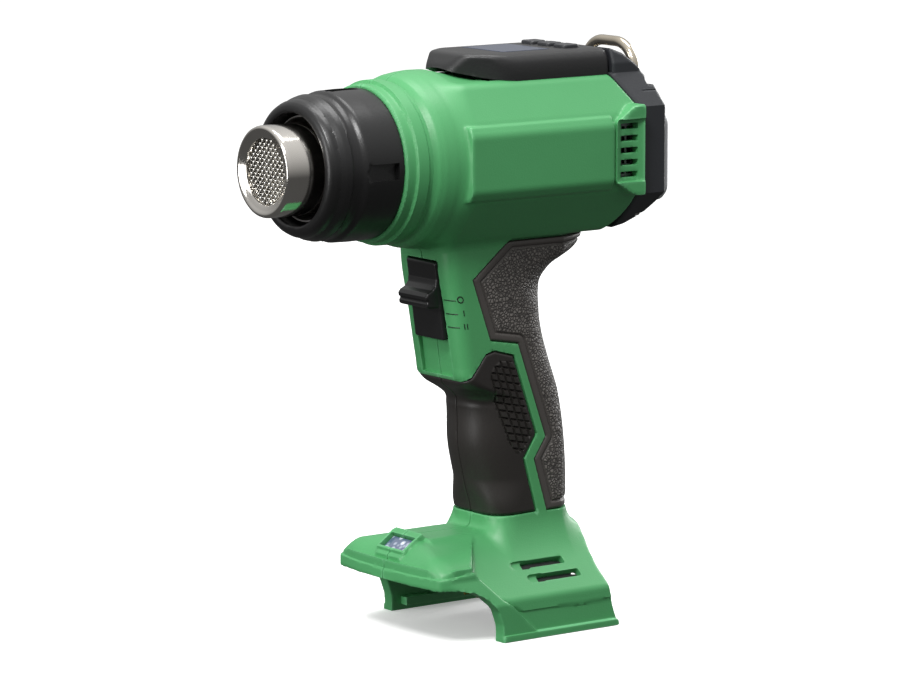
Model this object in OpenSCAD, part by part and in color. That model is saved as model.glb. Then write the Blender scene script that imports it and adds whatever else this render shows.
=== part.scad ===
// Cordless heat gun without its battery.
// The shapes are drawn round the barrel axis: X runs back from the nozzle's front edge, +Z is up.
// tool() then moves them so that the origin lies under the middle of the whole tool, at skirt level.

/* [Overall] */
// Length from the nozzle's front edge to the rear pad
overall_l = 167; // [166:0.5:169]
// Height of the barrel axis above the bottom of the skirts
axis_h = 178.9; // [178:0.1:180]

/* [Nozzle and heater] */
// Outer radius of the outlet tube, the seat of clip-on nozzles
nozzle_r = 17; // [16.8:0.1:17.2]
// Wall of the outlet tube
nozzle_wall = 0.8; // [0.6:0.1:0.9]
// Radius of the ceramic former
core_r = 10.8; // [10:0.1:11]
// Turns of the heating coil
coil_turns = 9; // [6:1:10]

/* [Guard] */
// Front of the guard ring, behind the free nozzle
guard_x = 13; // [12:0.5:14]
// Radius of the guard at its rear edge
guard_r = 28.2; // [28:0.1:28.4]
// Radius of the guard's bore
guard_bore_r = 20.8; // [20.5:0.1:21.5]

/* [Housing] */
// Wall of the moulded halves
wall = 2.6; // [2.2:0.1:2.8]
// Radius of the air passage round fan and motor
duct_r = 28.4; // [28.3:0.1:28.5]
// Number of inlet slots on each side
vent_count = 5; // [3:1:5]
// Distance from one inlet slot to the next
vent_pitch = 4.55; // [4:0.05:4.6]

/* [Fan and motor] */
// Radius over the fan blades
fan_r = 25; // [23:0.5:25]
// Number of fan blades
fan_blades = 9; // [5:1:11]
// Radius of the motor's steel can
motor_r = 14; // [13.5:0.1:14]
// Radius of the motor shaft
shaft_r = 1.58; // [1.5:0.01:1.58]

/* [Handle] */
// Width across the grip
grip_w = 34; // [33:0.5:35]
// Thickness of the soft grip covers
grip_t = 2.2; // [1.8:0.1:2.4]
// Lean of the switch track from upright, in degrees
switch_lean = 8; // [7:0.5:9]
// Travel from O to II
switch_travel = 10.3; // [9:0.1:10.5]

/* [Battery foot] */
// Width over the skirts
foot_w = 78; // [77:0.5:79]
// Free width between the skirts
bay_w = 66; // [64:1:68]

/* [Hook] */
// Thickness of the hook's wire
hook_wire = 4; // [3.6:0.1:4]
// Width between the centres of the hook's legs
hook_w = 30; // [29:0.5:31]

/* [Hidden] */
$fn = 96;

big = 400;          // longer than the tool, for cuts that run right through
gap = 0.3;          // free space between parts that move past each other
nip = 0.1;          // free space between parts that are only laid together
cut_over = 1.3;     // how far a bevel's cutter runs past its edge, so that no fin is left
run_gap = 0.04;     // radial clearance of a turning shaft or pin

// Barrel, from front to rear
guard_rear = 44;    // visible rear edge of the guard
guard_end = 58;     // end of the guard's spigot inside the collar
spigot_r = 26.9;
seat_r = spigot_r + nip;
duct_x = 62;        // where the bore widens to the air passage
flange_x = 66;      // front of the heater's rear flange
shroud_x = 75;
fan_x = 78;
mount_x = 92.3;     // plate that carries the motor
motor_x = 95;
motor_end = 131;
housing_end = 150;  // rear face of the moulded halves
deck_z = -157.5;    // underside of the foot's deck
foot_z = -axis_h;
panel_z = 29.4;     // flat on which the top panel lies
panel_top = 39.6;
hook_r = hook_wire / 2;
hook_x = 161;
hook_z = 26;
hook_top = 41.3;
bush_r = 4.1;

green = "#4fa36b";
black = "#2b2b2c";
dark = "#3a3a3a";
steel = "#c9c9cb";

// ---- outlines, as [x, z] unless said otherwise ----
collar_line = [[guard_rear, 0], [guard_rear, 28.7], [44.8, 29.4], [48, 29.4], [48.6, 30.7],
    [53, 30.7], [54, 30], [55.5, 30], [57.5, 31.7], [62, 32.9], [68, 33.3], [75, 33.4],
    [83, 30.2], [83, 0]];
guard_line = [[guard_x + 0.6, guard_bore_r], [guard_x, 22.2], [guard_x + 0.6, 24], [15, 25.2],
    [17, 26.3], [21.5, 27.3], [26, 27.6], [30, 28.1], [35, guard_r], [guard_rear, 28],
    [guard_rear, spigot_r], [guard_end, spigot_r], [guard_end, guard_bore_r]];
// across the motor housing, as [y, z]
motor_section = [[-22, panel_z], [22, panel_z], [34, 13], [34, -12], [18, -31], [-18, -31],
    [-34, -12], [-34, 13]];
motor_side = [[74, -25], [80, -31], [148, -31], [housing_end, -28.5], [housing_end, 17.5],
    [143, panel_z], [80, panel_z], [74, 25]];
motor_plan = [[73, -28], [82, -35], [housing_end, -35], [housing_end, 35], [82, 35], [73, 28]];
panel_rib = [[32, 14.2], [35.5, 11.5], [35.5, -10], [32, -12.8]];
handle_line = [[71.8, -18], [71.8, -33.9], [72.1, -38.4], [78.9, -77.8], [79.2, -82.6],
    [83, -87.6], [87.7, -89.8], [88, -109.9], [94.9, -137.2], [94.5, -144], [134, -144],
    [133.9, -135], [133.5, -118], [132, -105], [128.5, -90], [124, -77.5], [121, -68],
    [119.6, -60], [119.8, -52], [122.5, -45.5], [129, -40.5], [139, -37.6], [142.4, -35],
    [142.4, -31], [138, -25]];
handle_core = [[79, -22], [79.5, -38.4], [84.5, -76], [93, -89], [93, -109], [99.5, -137],
    [99.5, -150], [129, -150], [128.9, -135], [128.5, -118], [127, -105], [123.4, -90],
    [119, -77.5], [116, -68], [114.6, -60], [114.8, -50], [118, -40], [118, -22]];
grip_core = [[60, -60], [60, -150], [131.7, -150], [131.7, -135], [131.3, -118], [129.8, -105],
    [126.3, -90], [121.8, -77.5], [118.8, -68], [117.4, -60], [117.6, -51.5], [120.6, -44],
    [128, -38.4], [138, -35.4], [139.6, -20], [60, -20]];
grip_rear_line = [[100, -31], [83, -44.8], [91.5, -68.6], [104.4, -70.8], [117.4, -107.2],
    [112, -115.4], [118.2, -136], [140, -136], [150, -100], [150, -31]];
grip_front_line = [[70, -82.8], [82.8, -81.6], [89.3, -73.2], [93.5, -72.2], [102.5, -74.7],
    [113.5, -105.8], [107.7, -114.9], [113.6, -135.7], [79, -135.7]];
nose_line = [[64.1, -142.4], [57.9, -146.8], [53.4, -153.7], [53.3, deck_z], [86, deck_z],
    [86, -142.4]];
nose_plan = [[53.3, 0], [54.2, 20], [56.4, 32.2], [58.5, 33.4], [90, 35], [90, -35],
    [58.5, -33.4], [56.4, -32.2], [54.2, -20]];
nose_section = [[-36, deck_z], [-36, -150.2], [-28, -146.8], [-10, -142.4], [10, -142.4],
    [28, -146.8], [36, -150.2], [36, deck_z]];
skirt_line = [[72, -142.4], [134, -142.4], [133, -150], [132.8, -163], [137, foot_z],
    [81.5, foot_z], [80.5, -170], [76.5, -162.5], [70, deck_z]];
skirt_half = [[0, -142.4], [14, -142.8], [22, -149.5], [37.4, -163], [38.2, -175.6],
    [foot_w / 2, -176.6], [foot_w / 2, foot_z], [0, foot_z]];
// the bay for the battery, as [y, z]
bay_section = [[-bay_w / 2, foot_z - 5], [-bay_w / 2, -165], [-27, deck_z], [27, deck_z],
    [bay_w / 2, -165], [bay_w / 2, foot_z - 5]];
// plan of the top panel, as [x, y]
panel_plan = [[78, -7], [97, -22], [145, -22], [145, 22], [97, 22], [78, 7]];
panel_hollow = [[89, -11], [96.5, -18.4], [141, -18.4], [141, 18.4], [96.5, 18.4], [89, 11]];
panel_side = [[76, 27], [78, 33.4], [84, panel_top], [142, panel_top], [145, 38.8], [145, 27]];
panel_section = [[-22, 27], [-22, 33.4], [-20, 37.6], [-17, panel_top], [17, panel_top],
    [20, 37.6], [22, 33.4], [22, 27]];
cover_side = [[145.2, 38.8], [151, 36.6], [158, 31.2], [162.6, 24], [164, 16], [164, -18],
    [160, -25], [154, -29], [148.2, -30.6], [150.2, -28.4], [150.2, 17.6], [143.2, 29.5],
    [145.2, 29.5]];
cover_section = [[-20, 39.4], [20, 39.4], [22, 33], [22, panel_z], [31, 17], [31, -16],
    [17, -30.6], [-17, -30.6], [-31, -16], [-31, 17], [-22, panel_z], [-22, 33]];
cover_hollow = [[140, 35.8], [150, 34], [156, 29.3], [160, 22.5], [161.4, 15], [161.4, -17],
    [158, -23], [153, -26], [140, -26]];
// across the inside of the rear cover, as [y, z]
cover_inside = [[-17, 37], [17, 37], [19, 32], [19, 28.4], [27.6, 16], [27.6, -14.6], [15.6, -27],
    [-15.6, -27], [-27.6, -14.6], [-27.6, 16], [-19, 28.4], [-19, 32]];

// Screws that hold the halves together: [x, z, how far out the head's pocket starts, half the
// boss's length], in the handle, the neck, the nose and the motor housing
screws = [[83, -35.5, 13, 12.6], [84.6, -73.2, 13, 12.6], [101, -139.8, 13, 12.6],
    [127, -139.8, 13, 12.6], [74, -151.6, 22, 21.6], [100, 23.6, 18, 17], [137, 23.6, 18, 17]];
screw_r = 1.5;
head_r = 2.9;
head_h = 2.2;
boss_r = 3.6;
cover_screws = [[24, 20.4], [-24, 20.4], [20, -23], [-20, -23]]; // [y, z]
motor_screw_ring = 8;
button_spots = [-10, 0, 10];
button_x = 132;
button_travel = 0.8;
lens_x = 100;
lens_l = 22;
lens_w = 26;
blade_spots = [-12, -4, 4, 12];
rail_z = -173.5;
slot_lean = 41;     // slope of the foot's shoulders, in degrees

// ---- placing and drawing ----
module tool() translate([-overall_l / 2, 0, axis_h]) children();
// A side view outline with a width
module side(line, width) rotate([90, 0, 0]) linear_extrude(width, center = true) polygon(line);
// A section across the barrel, from x0 to x1
module section(line, x0, x1)
    translate([x0, 0, 0]) rotate([90, 0, 90]) linear_extrude(x1 - x0) polygon(line);
// A plan outline from z0 to z1
module plan(line, z0, z1) translate([0, 0, z0]) linear_extrude(z1 - z0) polygon(line);
// A profile of [x, r] turned round the barrel axis
module turned(line) rotate([0, 90, 0]) rotate_extrude() polygon([for (p = line) [p[1], p[0]]]);
module rod(x0, x1, r) translate([x0, 0, 0]) rotate([0, 90, 0]) cylinder(h = x1 - x0, r = r);
module tube(x0, x1, outer, inner) difference() {
    rod(x0, x1, outer);
    rod(x0 - 1, x1 + 1, inner);
}
module cross_rod(x, z, y0, y1, r)
    translate([x, y1, z]) rotate([90, 0, 0]) cylinder(h = y1 - y0, r = r);
module block(lo, hi) translate(lo) cube(hi - lo);
// Everything on one side of the split plane: s is -1 for left, 1 for right
module half(s) intersection() {
    children();
    translate([-big / 2, s < 0 ? -big : 0, -big / 2]) cube(big);
}
// Takes a 45 degree bevel off both long edges between two outline points. The solid lies on the
// side where +X is for an edge that runs down.
module edge_cut(p, q, width, bevel) {
    run = q - p;
    for (s = [-1, 1])
        translate([p[0], s * width / 2, p[1]])
        rotate([0, -atan2(run[1], run[0]), 0])
        section([[-s * (bevel + cut_over), -cut_over], [s * cut_over, bevel + cut_over],
            [s * cut_over, -cut_over]], -cut_over, norm(run) + cut_over);
}
// A wire of a few flat sides swept through a list of points; it never runs parallel to `across`
function unit(v) = v / norm(v);
function run_at(points, i) =
    unit(points[min(i + 1, len(points) - 1)] - points[max(i - 1, 0)]);
function ring_at(points, i, r, sides, across) = let (
    u = unit(cross(run_at(points, i), across)),
    v = cross(run_at(points, i), u)
) [for (j = [0:sides - 1]) points[i] + r * (u * cos(360 * j / sides) + v * sin(360 * j / sides))];
module wire(points, r, sides = 8, across = [0, 1, 0]) {
    last = len(points) - 1;
    polyhedron(
        points = [for (i = [0:last]) each ring_at(points, i, r, sides, across)],
        faces = concat(
            [[for (j = [0:sides - 1]) j]],
            [[for (j = [sides - 1:-1:0]) last * sides + j]],
            [for (i = [0:last - 1]) for (j = [0:sides - 1]) let (
                a = i * sides + j,
                b = i * sides + (j + 1) % sides
            ) each [[a, a + sides, b], [b, a + sides, b + sides]]]));
}
// The switch track's own frame: z up the track, -x out of the handle
module on_track() translate([74.6, 0, -53]) rotate([0, -switch_lean, 0]) children();

// ---- outer shapes that the shells share ----
module motor_outer() intersection() {
    union() {
        section(motor_section, 70, housing_end);
        for (s = [0, 1]) mirror([0, s, 0]) section(panel_rib, 69, housing_end);
    }
    side(motor_side, big);
    plan(motor_plan, -big / 2, big / 2);
}
module bevelled(line, width, edges, bevel) difference() {
    side(line, width);
    for (i = edges) edge_cut(line[i], line[i + 1], width, bevel);
}
module handle_outer() difference() {
    bevelled(handle_line, grip_w, [10:21], 6.5);
    for (i = [1:7]) edge_cut(handle_line[i], handle_line[i + 1], grip_w, 5.5);
}
module foot_outer() {
    intersection() {
        side(nose_line, big);
        plan(nose_plan, -170, -140);
        section(nose_section, 50, 90);
    }
    intersection() {
        side(skirt_line, big);
        union() for (s = [0, 1]) mirror([0, s, 0]) section(skirt_half, 60, 140);
    }
}
module grip_zone(line) difference() {
    side(line, big);
    bevelled(grip_core, grip_w - 2 * grip_t, [2:13], 5.2);
}
module front_grip_zone() difference() {
    side(grip_front_line, big);
    block([60, -grip_w / 2 + grip_t, -150], [140, grip_w / 2 - grip_t, -60]);
}
// The lamp window's own frame: x up its slope, z out of it
module on_lamp() translate([61, 0, -144.6]) rotate([0, -35, 0]) children();
module led_pocket() on_lamp() block([-4, -8, -3], [4, 8, 6]);
module shoulder_slots() for (s = [-1, 1]) for (row = [0, 1])
    translate([107 + 4 * row, s * (26 + 5 * row), -153.4 - 4.6 * row])
        rotate([-s * slot_lean, 0, 0])
        block([-12, -1.5, -8], [12, 1.5, 8]);
module vents() for (s = [-1, 1]) {
    block([138, min(s * 20, s * 32.6), -13], [148, max(s * 20, s * 32.6), 15.5]);
    for (i = [0:vent_count - 1])
        translate([139.5, s * 34 - 3, 1.4 + (i - (vent_count - 1) / 2) * vent_pitch - 1])
            cube([7.5, 6, 2]);
}
module housing_inside() {
    rod(guard_rear - 1, duct_x, seat_r);
    rod(duct_x - 1, housing_end + 1, duct_r);
    bevelled(handle_core, grip_w - 2 * grip_t - 2 * wall, [7:15], 3.5);
    plan(panel_hollow, 27.3, 50);
    intersection() {
        side([[64, -146], [59, -155], [129, -155], [129, -146]], 56);
        section([[-23, -155], [-21, -152.6], [-12, -146], [12, -146], [21, -152.6], [23, -155]],
            50, 140);
    }
    section(bay_section, 50, 150);
    block([104, -11, -160], [126, 11, -150]);
    led_pocket();
    on_track() {
        block([-5, -9.6, -19.2 - switch_travel], [2.2, 9.6, 15.6]);
        block([-5, -3, -3.2 - switch_travel], [20, 3, 3]);
        block([3.8, -8.3, -17.3], [18.3, 8.3, 8.3]);
    }
    shoulder_slots();
    vents();
}
module housing_solid() {
    difference() {
        union() {
            turned(collar_line);
            motor_outer();
            handle_outer();
            foot_outer();
        }
        housing_inside();
        grip_zone(grip_rear_line);
        front_grip_zone();
        for (p = cover_screws) translate([0, p[0], p[1]]) rod(135, housing_end + 1, screw_r);
    }
    for (p = screws) cross_rod(p[0], p[1], -p[3], p[3], boss_r);
    for (s = [-1, 1]) block([86, s > 0 ? 29.2 : -34, -176.6], [134, s > 0 ? 34 : -29.2, rail_z]);
}
module housing_half(s) color(green) tool() difference() {
    half(s) housing_solid();
    for (p = screws) {
        cross_rod(p[0], p[1], -10, p[2] + 1, screw_r);
        cross_rod(p[0], p[1], p[2], 60, head_r + nip);
    }
}
module housing_left() housing_half(-1);
module housing_right() housing_half(1);
module housing_screws() color(dark) tool() for (p = screws) {
    cross_rod(p[0], p[1], -9, p[2] + nip, screw_r - nip);
    difference() {
        cross_rod(p[0], p[1], p[2], p[2] + head_h, head_r);
        cross_rod(p[0], p[1], p[2] + 1, p[2] + 3, 1.2, $fn = 6);
    }
}

// ---- nozzle, heater and guard ----
module front_guard() color(black) tool() difference() {
    turned(guard_line);
    for (a = [0:90:270]) rotate([a, 0, 0]) plan([[27, 0], [guard_rear, -5], [guard_rear, 5]], 26, 40);
}
module nozzle_tube() color(steel) tool() difference() {
    turned([[0.8, 0], [0, nozzle_r - 1], [0.2, nozzle_r - 0.4], [1, nozzle_r], [64.8, nozzle_r],
        [64.8, 24], [flange_x, 24], [flange_x, 0]]);
    turned([[-1, nozzle_r - 1], [1, nozzle_r - nozzle_wall], [flange_x + 1, nozzle_r - nozzle_wall],
        [flange_x + 1, 0], [-1, 0]]);
}
module nozzle_screen() color(steel) tool() difference() {
    rod(4, 5, nozzle_r - nozzle_wall);
    for (ring = [1:3]) for (i = [0:6 * ring - 1])
        rotate([i * 60 / ring, 0, 0]) translate([0, 0, ring * 3.4]) rod(3, 6, 1.2, $fn = 24);
    rod(3, 6, 1.2, $fn = 24);
}
module heater_core() color("#e6e0d2") tool() difference() {
    rod(8, flange_x, core_r);
    rod(7, flange_x + 1, 3);
    for (i = [0:5]) rotate([60 * i, 0, 0]) translate([0, 0, 6.6]) rod(7, flange_x + 1, 2);
}
// The coil is one wire swept along a helix
coil_r = (core_r + 13.4) / 2;
coil_steps = 14;    // points in one turn
coil_start = 12;
coil_l = 46;
coil_line = [for (i = [0:coil_turns * coil_steps]) [coil_start + coil_l * i / (coil_turns * coil_steps),
    coil_r * cos(360 * i / coil_steps), coil_r * sin(360 * i / coil_steps)]];
module heating_coil() color("#8d8378") tool() wire(coil_line, 0.45, 6, [1, 0, 0]);
module mica_sleeve() color("#b9a77c") tool() tube(8, flange_x, 14, 13.4);
module heat_shield() color(steel) tool() tube(18, 64.6, 19.5, 19);
module heater_flange() color("#d8d2c4") tool() difference() {
    tube(flange_x + nip, 69, duct_r - nip, 3);
    for (i = [0:5]) rotate([60 * i, 0, 0]) translate([0, 0, 6.6]) rod(65, 70, 2);
}
module thermal_fuse() color("#d9d9d9") tool() cross_rod(71, 20, -5, 5, 1.7);
module temperature_sensor() color(steel) tool() translate([0, 0, -15.1]) rod(20, flange_x, 0.8);

// ---- fan and motor ----
module fan_shroud() color(dark) tool() difference() {
    tube(shroud_x, mount_x - 0.1, duct_r - nip, fan_r + 0.6);
    block([shroud_x - 1, -7, -30], [mount_x, 7, -20]);
}
module fan_impeller() color(dark) tool() difference() {
    union() {
        rod(fan_x, fan_x + 11, 7);
        for (i = [0:fan_blades - 1]) rotate([360 * i / fan_blades, 0, 0])
            translate([fan_x + 5.5, 0, 6]) rotate([0, 0, 40])
            block([-5.5, -0.6, 0], [5.5, 0.6, fan_r - 7]);
    }
    rod(fan_x - 1, fan_x + 12, shaft_r);
}
module motor_mount() color(dark) tool() difference() {
    rod(mount_x, motor_x - nip, duct_r - nip);
    rod(mount_x - 1, motor_x + 1, bush_r + nip);
    for (a = [45:90:315]) rotate([a, 0, 0])
        block([mount_x - 1, -9, 15], [motor_x + 1, 9, 24]);
    for (s = [-1, 1]) translate([0, s * motor_screw_ring, 0]) rod(mount_x - 1, motor_x + 1, 1.3);
}
module motor_screws() color(steel) tool() for (s = [-1, 1])
    translate([0, s * motor_screw_ring, 0]) {
        rod(mount_x - 1.8, mount_x - nip, 2.2);
        rod(mount_x - 1, motor_x + 2, 1.2);
    }
module motor_can() color("#a9abad") tool() difference() {
    rod(motor_x, motor_end, motor_r);
    rod(motor_x + 1.2, motor_end + 1, motor_r - 1);
    rod(motor_x - 1, motor_x + 2, bush_r + nip);
    for (s = [-1, 1]) translate([0, s * motor_screw_ring, 0]) rod(motor_x - 1, motor_x + 2, 1.25);
}
module motor_end_cap() color(black) tool() tube(motor_end + nip, motor_end + 4, motor_r, bush_r + nip);
module motor_magnets() color("#4a4a4f") tool() intersection() {
    tube(98, 126, motor_r - 1 - nip, 10.9);
    for (s = [-1, 1]) rotate([s * 90, 0, 0]) section([[0, 0], [-16, 12], [16, 12]], 97, 127);
}
module motor_armature() color("#8a8f94") tool() difference() {
    tube(99, 125, 10.3, shaft_r);
    for (i = [0:4]) rotate([72 * i, 0, 0]) block([98, -1, 6], [126, 1, 12]);
}
module motor_commutator() color("#b87333") tool() tube(125.4, 130.4, 4, shaft_r);
module motor_shaft() color(steel) tool() rod(77, 134.5, shaft_r);
module bush(x) color("#a6825a") tool() tube(x, x + 3.5, bush_r, shaft_r + run_gap);
module motor_bush_front() bush(mount_x);
module motor_bush_rear() bush(motor_end);

// ---- top panel ----
module top_panel_outer() difference() {
    intersection() {
        plan(panel_plan, 20, 50);
        side(panel_side, big);
        section(panel_section, 70, 150);
    }
    turned(collar_line);
    motor_outer();
}
module top_panel() color(black) tool() difference() {
    top_panel_outer();
    plan(panel_hollow, 20, panel_top - 2.4);
    translate([lens_x, -lens_w / 2, 30]) cube([lens_l, lens_w, 20]);
    for (y = button_spots) block([button_x - 4, y - 4, 30], [button_x + 4, y + 4, 50]);
}
module display_lens() color("#66708c") tool()
    translate([lens_x + nip, -lens_w / 2 + nip, panel_top - 2.2])
    cube([lens_l - 2 * nip, lens_w - 2 * nip, 1.8]);
module display_module() color("#4b5568") tool()
    block([lens_x + 0.5, -12, 33.4], [lens_x + lens_l - 0.5, 12, 37.2]);
module display_board() color("#2f6b3d") tool() block([97.5, -17, 31.6], [140, 17, 33.2]);
module button_switches() color("#d0d0d0") tool() for (y = button_spots)
    block([button_x - 2.5, y - 2.5, 33.2], [button_x + 2.5, y + 2.5, 33.9]);
module button(y) color(dark) tool() {
    block([button_x - 3.7, y - 3.7, 35], [button_x + 3.7, y + 3.7, panel_top + button_travel]);
}
module button_up() button(button_spots[0]);
module button_mode() button(button_spots[1]);
module button_down() button(button_spots[2]);

// ---- rear ----
module cover_outer() intersection() {
    side(cover_side, big);
    section(cover_section, 140, 170);
}
module rear_cover() color("#38393c") tool() difference() {
    intersection() {
        cover_outer();
        union() {
            difference() {
                cover_outer();
                intersection() {
                    side(cover_hollow, 60);
                    section(cover_inside, 139, 170);
                }
            }
            for (s = [-1, 1]) {
                cross_rod(hook_x, hook_z, min(s * 6, s * 12.6), max(s * 6, s * 12.6), 4.6);
                block([150.2, min(s * 6, s * 12.6), 20], [hook_x, max(s * 6, s * 12.6), 29]);
            }
            for (p = cover_screws) translate([0, p[0], p[1]]) rod(150.2, 170, 4);
        }
    }
    cross_rod(hook_x, hook_z, -30, 30, hook_r + run_gap);
    for (s = [-1, 1]) block([hook_x - hook_r - 0.6, s * hook_w / 2 - hook_r - gap, hook_z - 3],
        [175, s * hook_w / 2 + hook_r + gap, 50]);
    for (p = cover_screws) translate([0, p[0], p[1]]) {
        rod(140, 175, screw_r + nip);
        rod(156, 175, head_r + nip);
    }
    block([162.4, -29.5, -20.5], [170, 29.5, 15.5]);
    block([140, -22.2, 18], [145.2, 22.2, 45]);    // room for the top panel's back edge
}
module rear_cover_screws() color(steel) tool() for (p = cover_screws) translate([0, p[0], p[1]]) {
    rod(138, 156 + nip, screw_r - nip);
    rod(156, 158.4, head_r);
}
module rear_pad() color("#8b8d90") tool() difference() {
    intersection() {
        block([162.5, -29, -20], [overall_l, 29, 15]);
        section([[-29, 11], [-25, 15], [25, 15], [29, 11], [29, -16], [25, -20], [-25, -20],
            [-29, -16]], 160, 170);
    }
    block([165, -20, -12], [170, 20, 7]);
}
module inlet_filters() color("#6f7275") tool() for (s = [-1, 1]) difference() {
    block([138.2, s * 30.4 - 0.4, -12.8], [147.8, s * 30.4 + 0.4, 15.3]);
    for (i = [0:6]) for (k = [0:2])
        block([139 + 2.9 * k, s * 30.4 - 1, -11.6 + 3.8 * i], [141 + 2.9 * k, s * 30.4 + 1, -8.8 + 3.8 * i]);
}
module hanging_hook() color(steel) tool() {
    bend = 11;                                  // radius of the wire's centre line at the corners
    leg = hook_w / 2;
    top = hook_top - hook_r;
    for (s = [0, 1]) mirror([0, s, 0]) {
        cross_rod(hook_x, hook_z, 8, leg, hook_r);
        translate([hook_x, leg, hook_z]) sphere(r = hook_r);
        translate([hook_x, leg, hook_z]) cylinder(h = top - bend - hook_z, r = hook_r);
        translate([hook_x, leg - bend, top - bend]) rotate([90, 0, 90])
            rotate_extrude(angle = 90) translate([bend, 0]) circle(r = hook_r);
        cross_rod(hook_x, top, 0, leg - bend, hook_r);
    }
}

// ---- handle ----
module switch_slider() color(black) tool() on_track() {
    difference() {
        block([-1.3, -9.2, -15], [1.9, 9.2, 15.2]);
        edge_cut([-1.3, 15.2], [-1.3, -15], 18.4, 1);
    }
    side([[-1, 5.5], [-4.6, 3.4], [-6.6, 1.6], [-6.9, 0.2], [-6, -0.6], [-6.6, -1.4], [-6.4, -3],
        [-5, -3.6], [-1, -3.6]], 18);
    block([1.8, -2.4, -1.2], [8, 2.4, 1.2]);
}
module switch_body() color(dark) tool() on_track() difference() {
    block([4, -8, -17], [18, 8, 8]);
    block([3, -3, -13.5], [9, 3, 3]);
}
module control_board() color("#2f6b3d") tool() translate([0, 5, 0])
    side([[97, -92], [112, -92], [122, -134], [106, -134]], 1.6);
module heat_sink() color("#b5b8bb") tool() difference() {
    translate([0, -0.4, 0]) side([[100, -96], [113, -96], [117.5, -120], [104, -120]], 9);
    for (i = [0:3]) block([90, -10, -99.5 - 5.4 * i], [130, 1.6, -97 - 5.4 * i]);
}
module capacitor() color("#30343c") tool() translate([114, -1, -133]) cylinder(h = 10, r = 4.8);
module grip(s, rear) tool() half(s) intersection() {
    handle_outer();
    if (rear) grip_zone(grip_rear_line);
    else front_grip_zone();
}
module grip_front_left() color(black) grip(-1, false);
module grip_front_right() color(black) grip(1, false);
module grip_rear_left() color("#4a4a48") grip(-1, true);
module grip_rear_right() color("#4a4a48") grip(1, true);

// ---- foot ----
module terminal_block() color(black) tool() {
    block([100, -17, -170], [130, 17, deck_z - nip]);
    block([105, -10, deck_z - 1], [125, 10, -151]);
}
module terminal_blades() color("#c8a04a") tool() for (y = blade_spots)
    block([89, y - 0.4, -167], [99.9, y + 0.4, -161]);
module led_lens() color("#9fb2cc") tool() on_lamp()
    block([-3.9, -7.9, -1], [3.9, 7.9, 0.6]);
module led_board() color("#2f6b3d") tool() block([61.5, -6, -153.4], [69.5, 6, -152]);

// ---- wiring ----
module heater_leads() color("#e8e8e8") tool() for (s = [-1, 1])
    wire([[72, s * 2.5, -25], [72.4, s * 2.5, -27], [88, s * 2.5, -27], [98, s * 3.5, -36],
        [101, s * 3.5, -60], [103, s * 4 - 6, -88]], 0.9);
module motor_leads() color("#a02020") tool() for (s = [-1, 1])
    wire([[137, s * 5, -8], [138, s * 5, -22], [116, s * 5, -26], [110, s * 5, -45],
        [110, s * 5, -62], [108, s * 4 - 6, -88]], 0.8);
module battery_leads() color("#a02020") tool() for (s = [-1, 1])
    wire([[115, s * 6, -150], [113, s * 6, -143], [110, s * 2 + 1, -137]], 1.1);

housing_left();
housing_right();
housing_screws();
front_guard();
nozzle_tube();
nozzle_screen();
heater_core();
heating_coil();
mica_sleeve();
heat_shield();
heater_flange();
thermal_fuse();
temperature_sensor();
fan_shroud();
fan_impeller();
motor_mount();
motor_screws();
motor_can();
motor_end_cap();
motor_magnets();
motor_armature();
motor_commutator();
motor_shaft();
motor_bush_front();
motor_bush_rear();
top_panel();
display_lens();
display_module();
display_board();
button_switches();
button_up();
button_down();
button_mode();
rear_cover();
rear_cover_screws();
rear_pad();
inlet_filters();
hanging_hook();
switch_slider();
switch_body();
control_board();
heat_sink();
capacitor();
grip_front_left();
grip_front_right();
grip_rear_left();
grip_rear_right();
terminal_block();
terminal_blades();
led_lens();
led_board();
heater_leads();
motor_leads();
battery_leads();
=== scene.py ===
"""Cordless heat gun: the looks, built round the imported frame.

Shapes are worked out in millimetres in the barrel's own frame: x runs back from the nozzle's front
edge, y is across and z is up from the barrel axis. to_row() turns that into the row frame in metres.

Two kinds of surface are used. Turned, swept and plain pieces are functions of two parameters on a
grid. Moulded shells with blended edges are the zero surface of a field of distances, where a
negative value is inside; contour() turns a field into a mesh that keeps its sharp creases.
"""

import math

import bpy
import numpy as np
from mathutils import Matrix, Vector


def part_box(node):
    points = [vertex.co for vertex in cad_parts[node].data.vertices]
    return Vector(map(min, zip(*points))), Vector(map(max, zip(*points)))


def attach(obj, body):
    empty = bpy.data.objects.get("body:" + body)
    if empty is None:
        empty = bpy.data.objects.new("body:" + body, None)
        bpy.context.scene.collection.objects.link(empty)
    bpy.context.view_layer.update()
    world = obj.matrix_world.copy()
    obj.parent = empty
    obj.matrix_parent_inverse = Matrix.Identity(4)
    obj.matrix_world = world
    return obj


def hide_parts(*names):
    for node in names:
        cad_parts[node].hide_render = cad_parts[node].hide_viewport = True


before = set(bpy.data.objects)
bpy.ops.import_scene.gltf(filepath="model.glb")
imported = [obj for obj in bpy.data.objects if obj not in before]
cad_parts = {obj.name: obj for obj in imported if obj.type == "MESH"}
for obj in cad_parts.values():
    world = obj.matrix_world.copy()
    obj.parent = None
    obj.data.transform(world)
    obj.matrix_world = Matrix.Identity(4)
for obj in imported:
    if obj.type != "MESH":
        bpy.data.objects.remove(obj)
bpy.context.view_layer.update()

MM = 0.001
TUBE_LOW, TUBE_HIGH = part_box("nozzle_tube")
NOSE_X = TUBE_LOW[0]                       # row x of the nozzle's front edge
AXIS_Z = (TUBE_LOW[2] + TUBE_HIGH[2]) / 2  # row height of the barrel axis
FOOT_Z = -AXIS_Z / MM                      # barrel-frame height of the skirts' lower edge


# ---- meshes ---------------------------------------------------------------------------------

SHARP = math.radians(34)  # edges that bend more than this stay crisp


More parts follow.
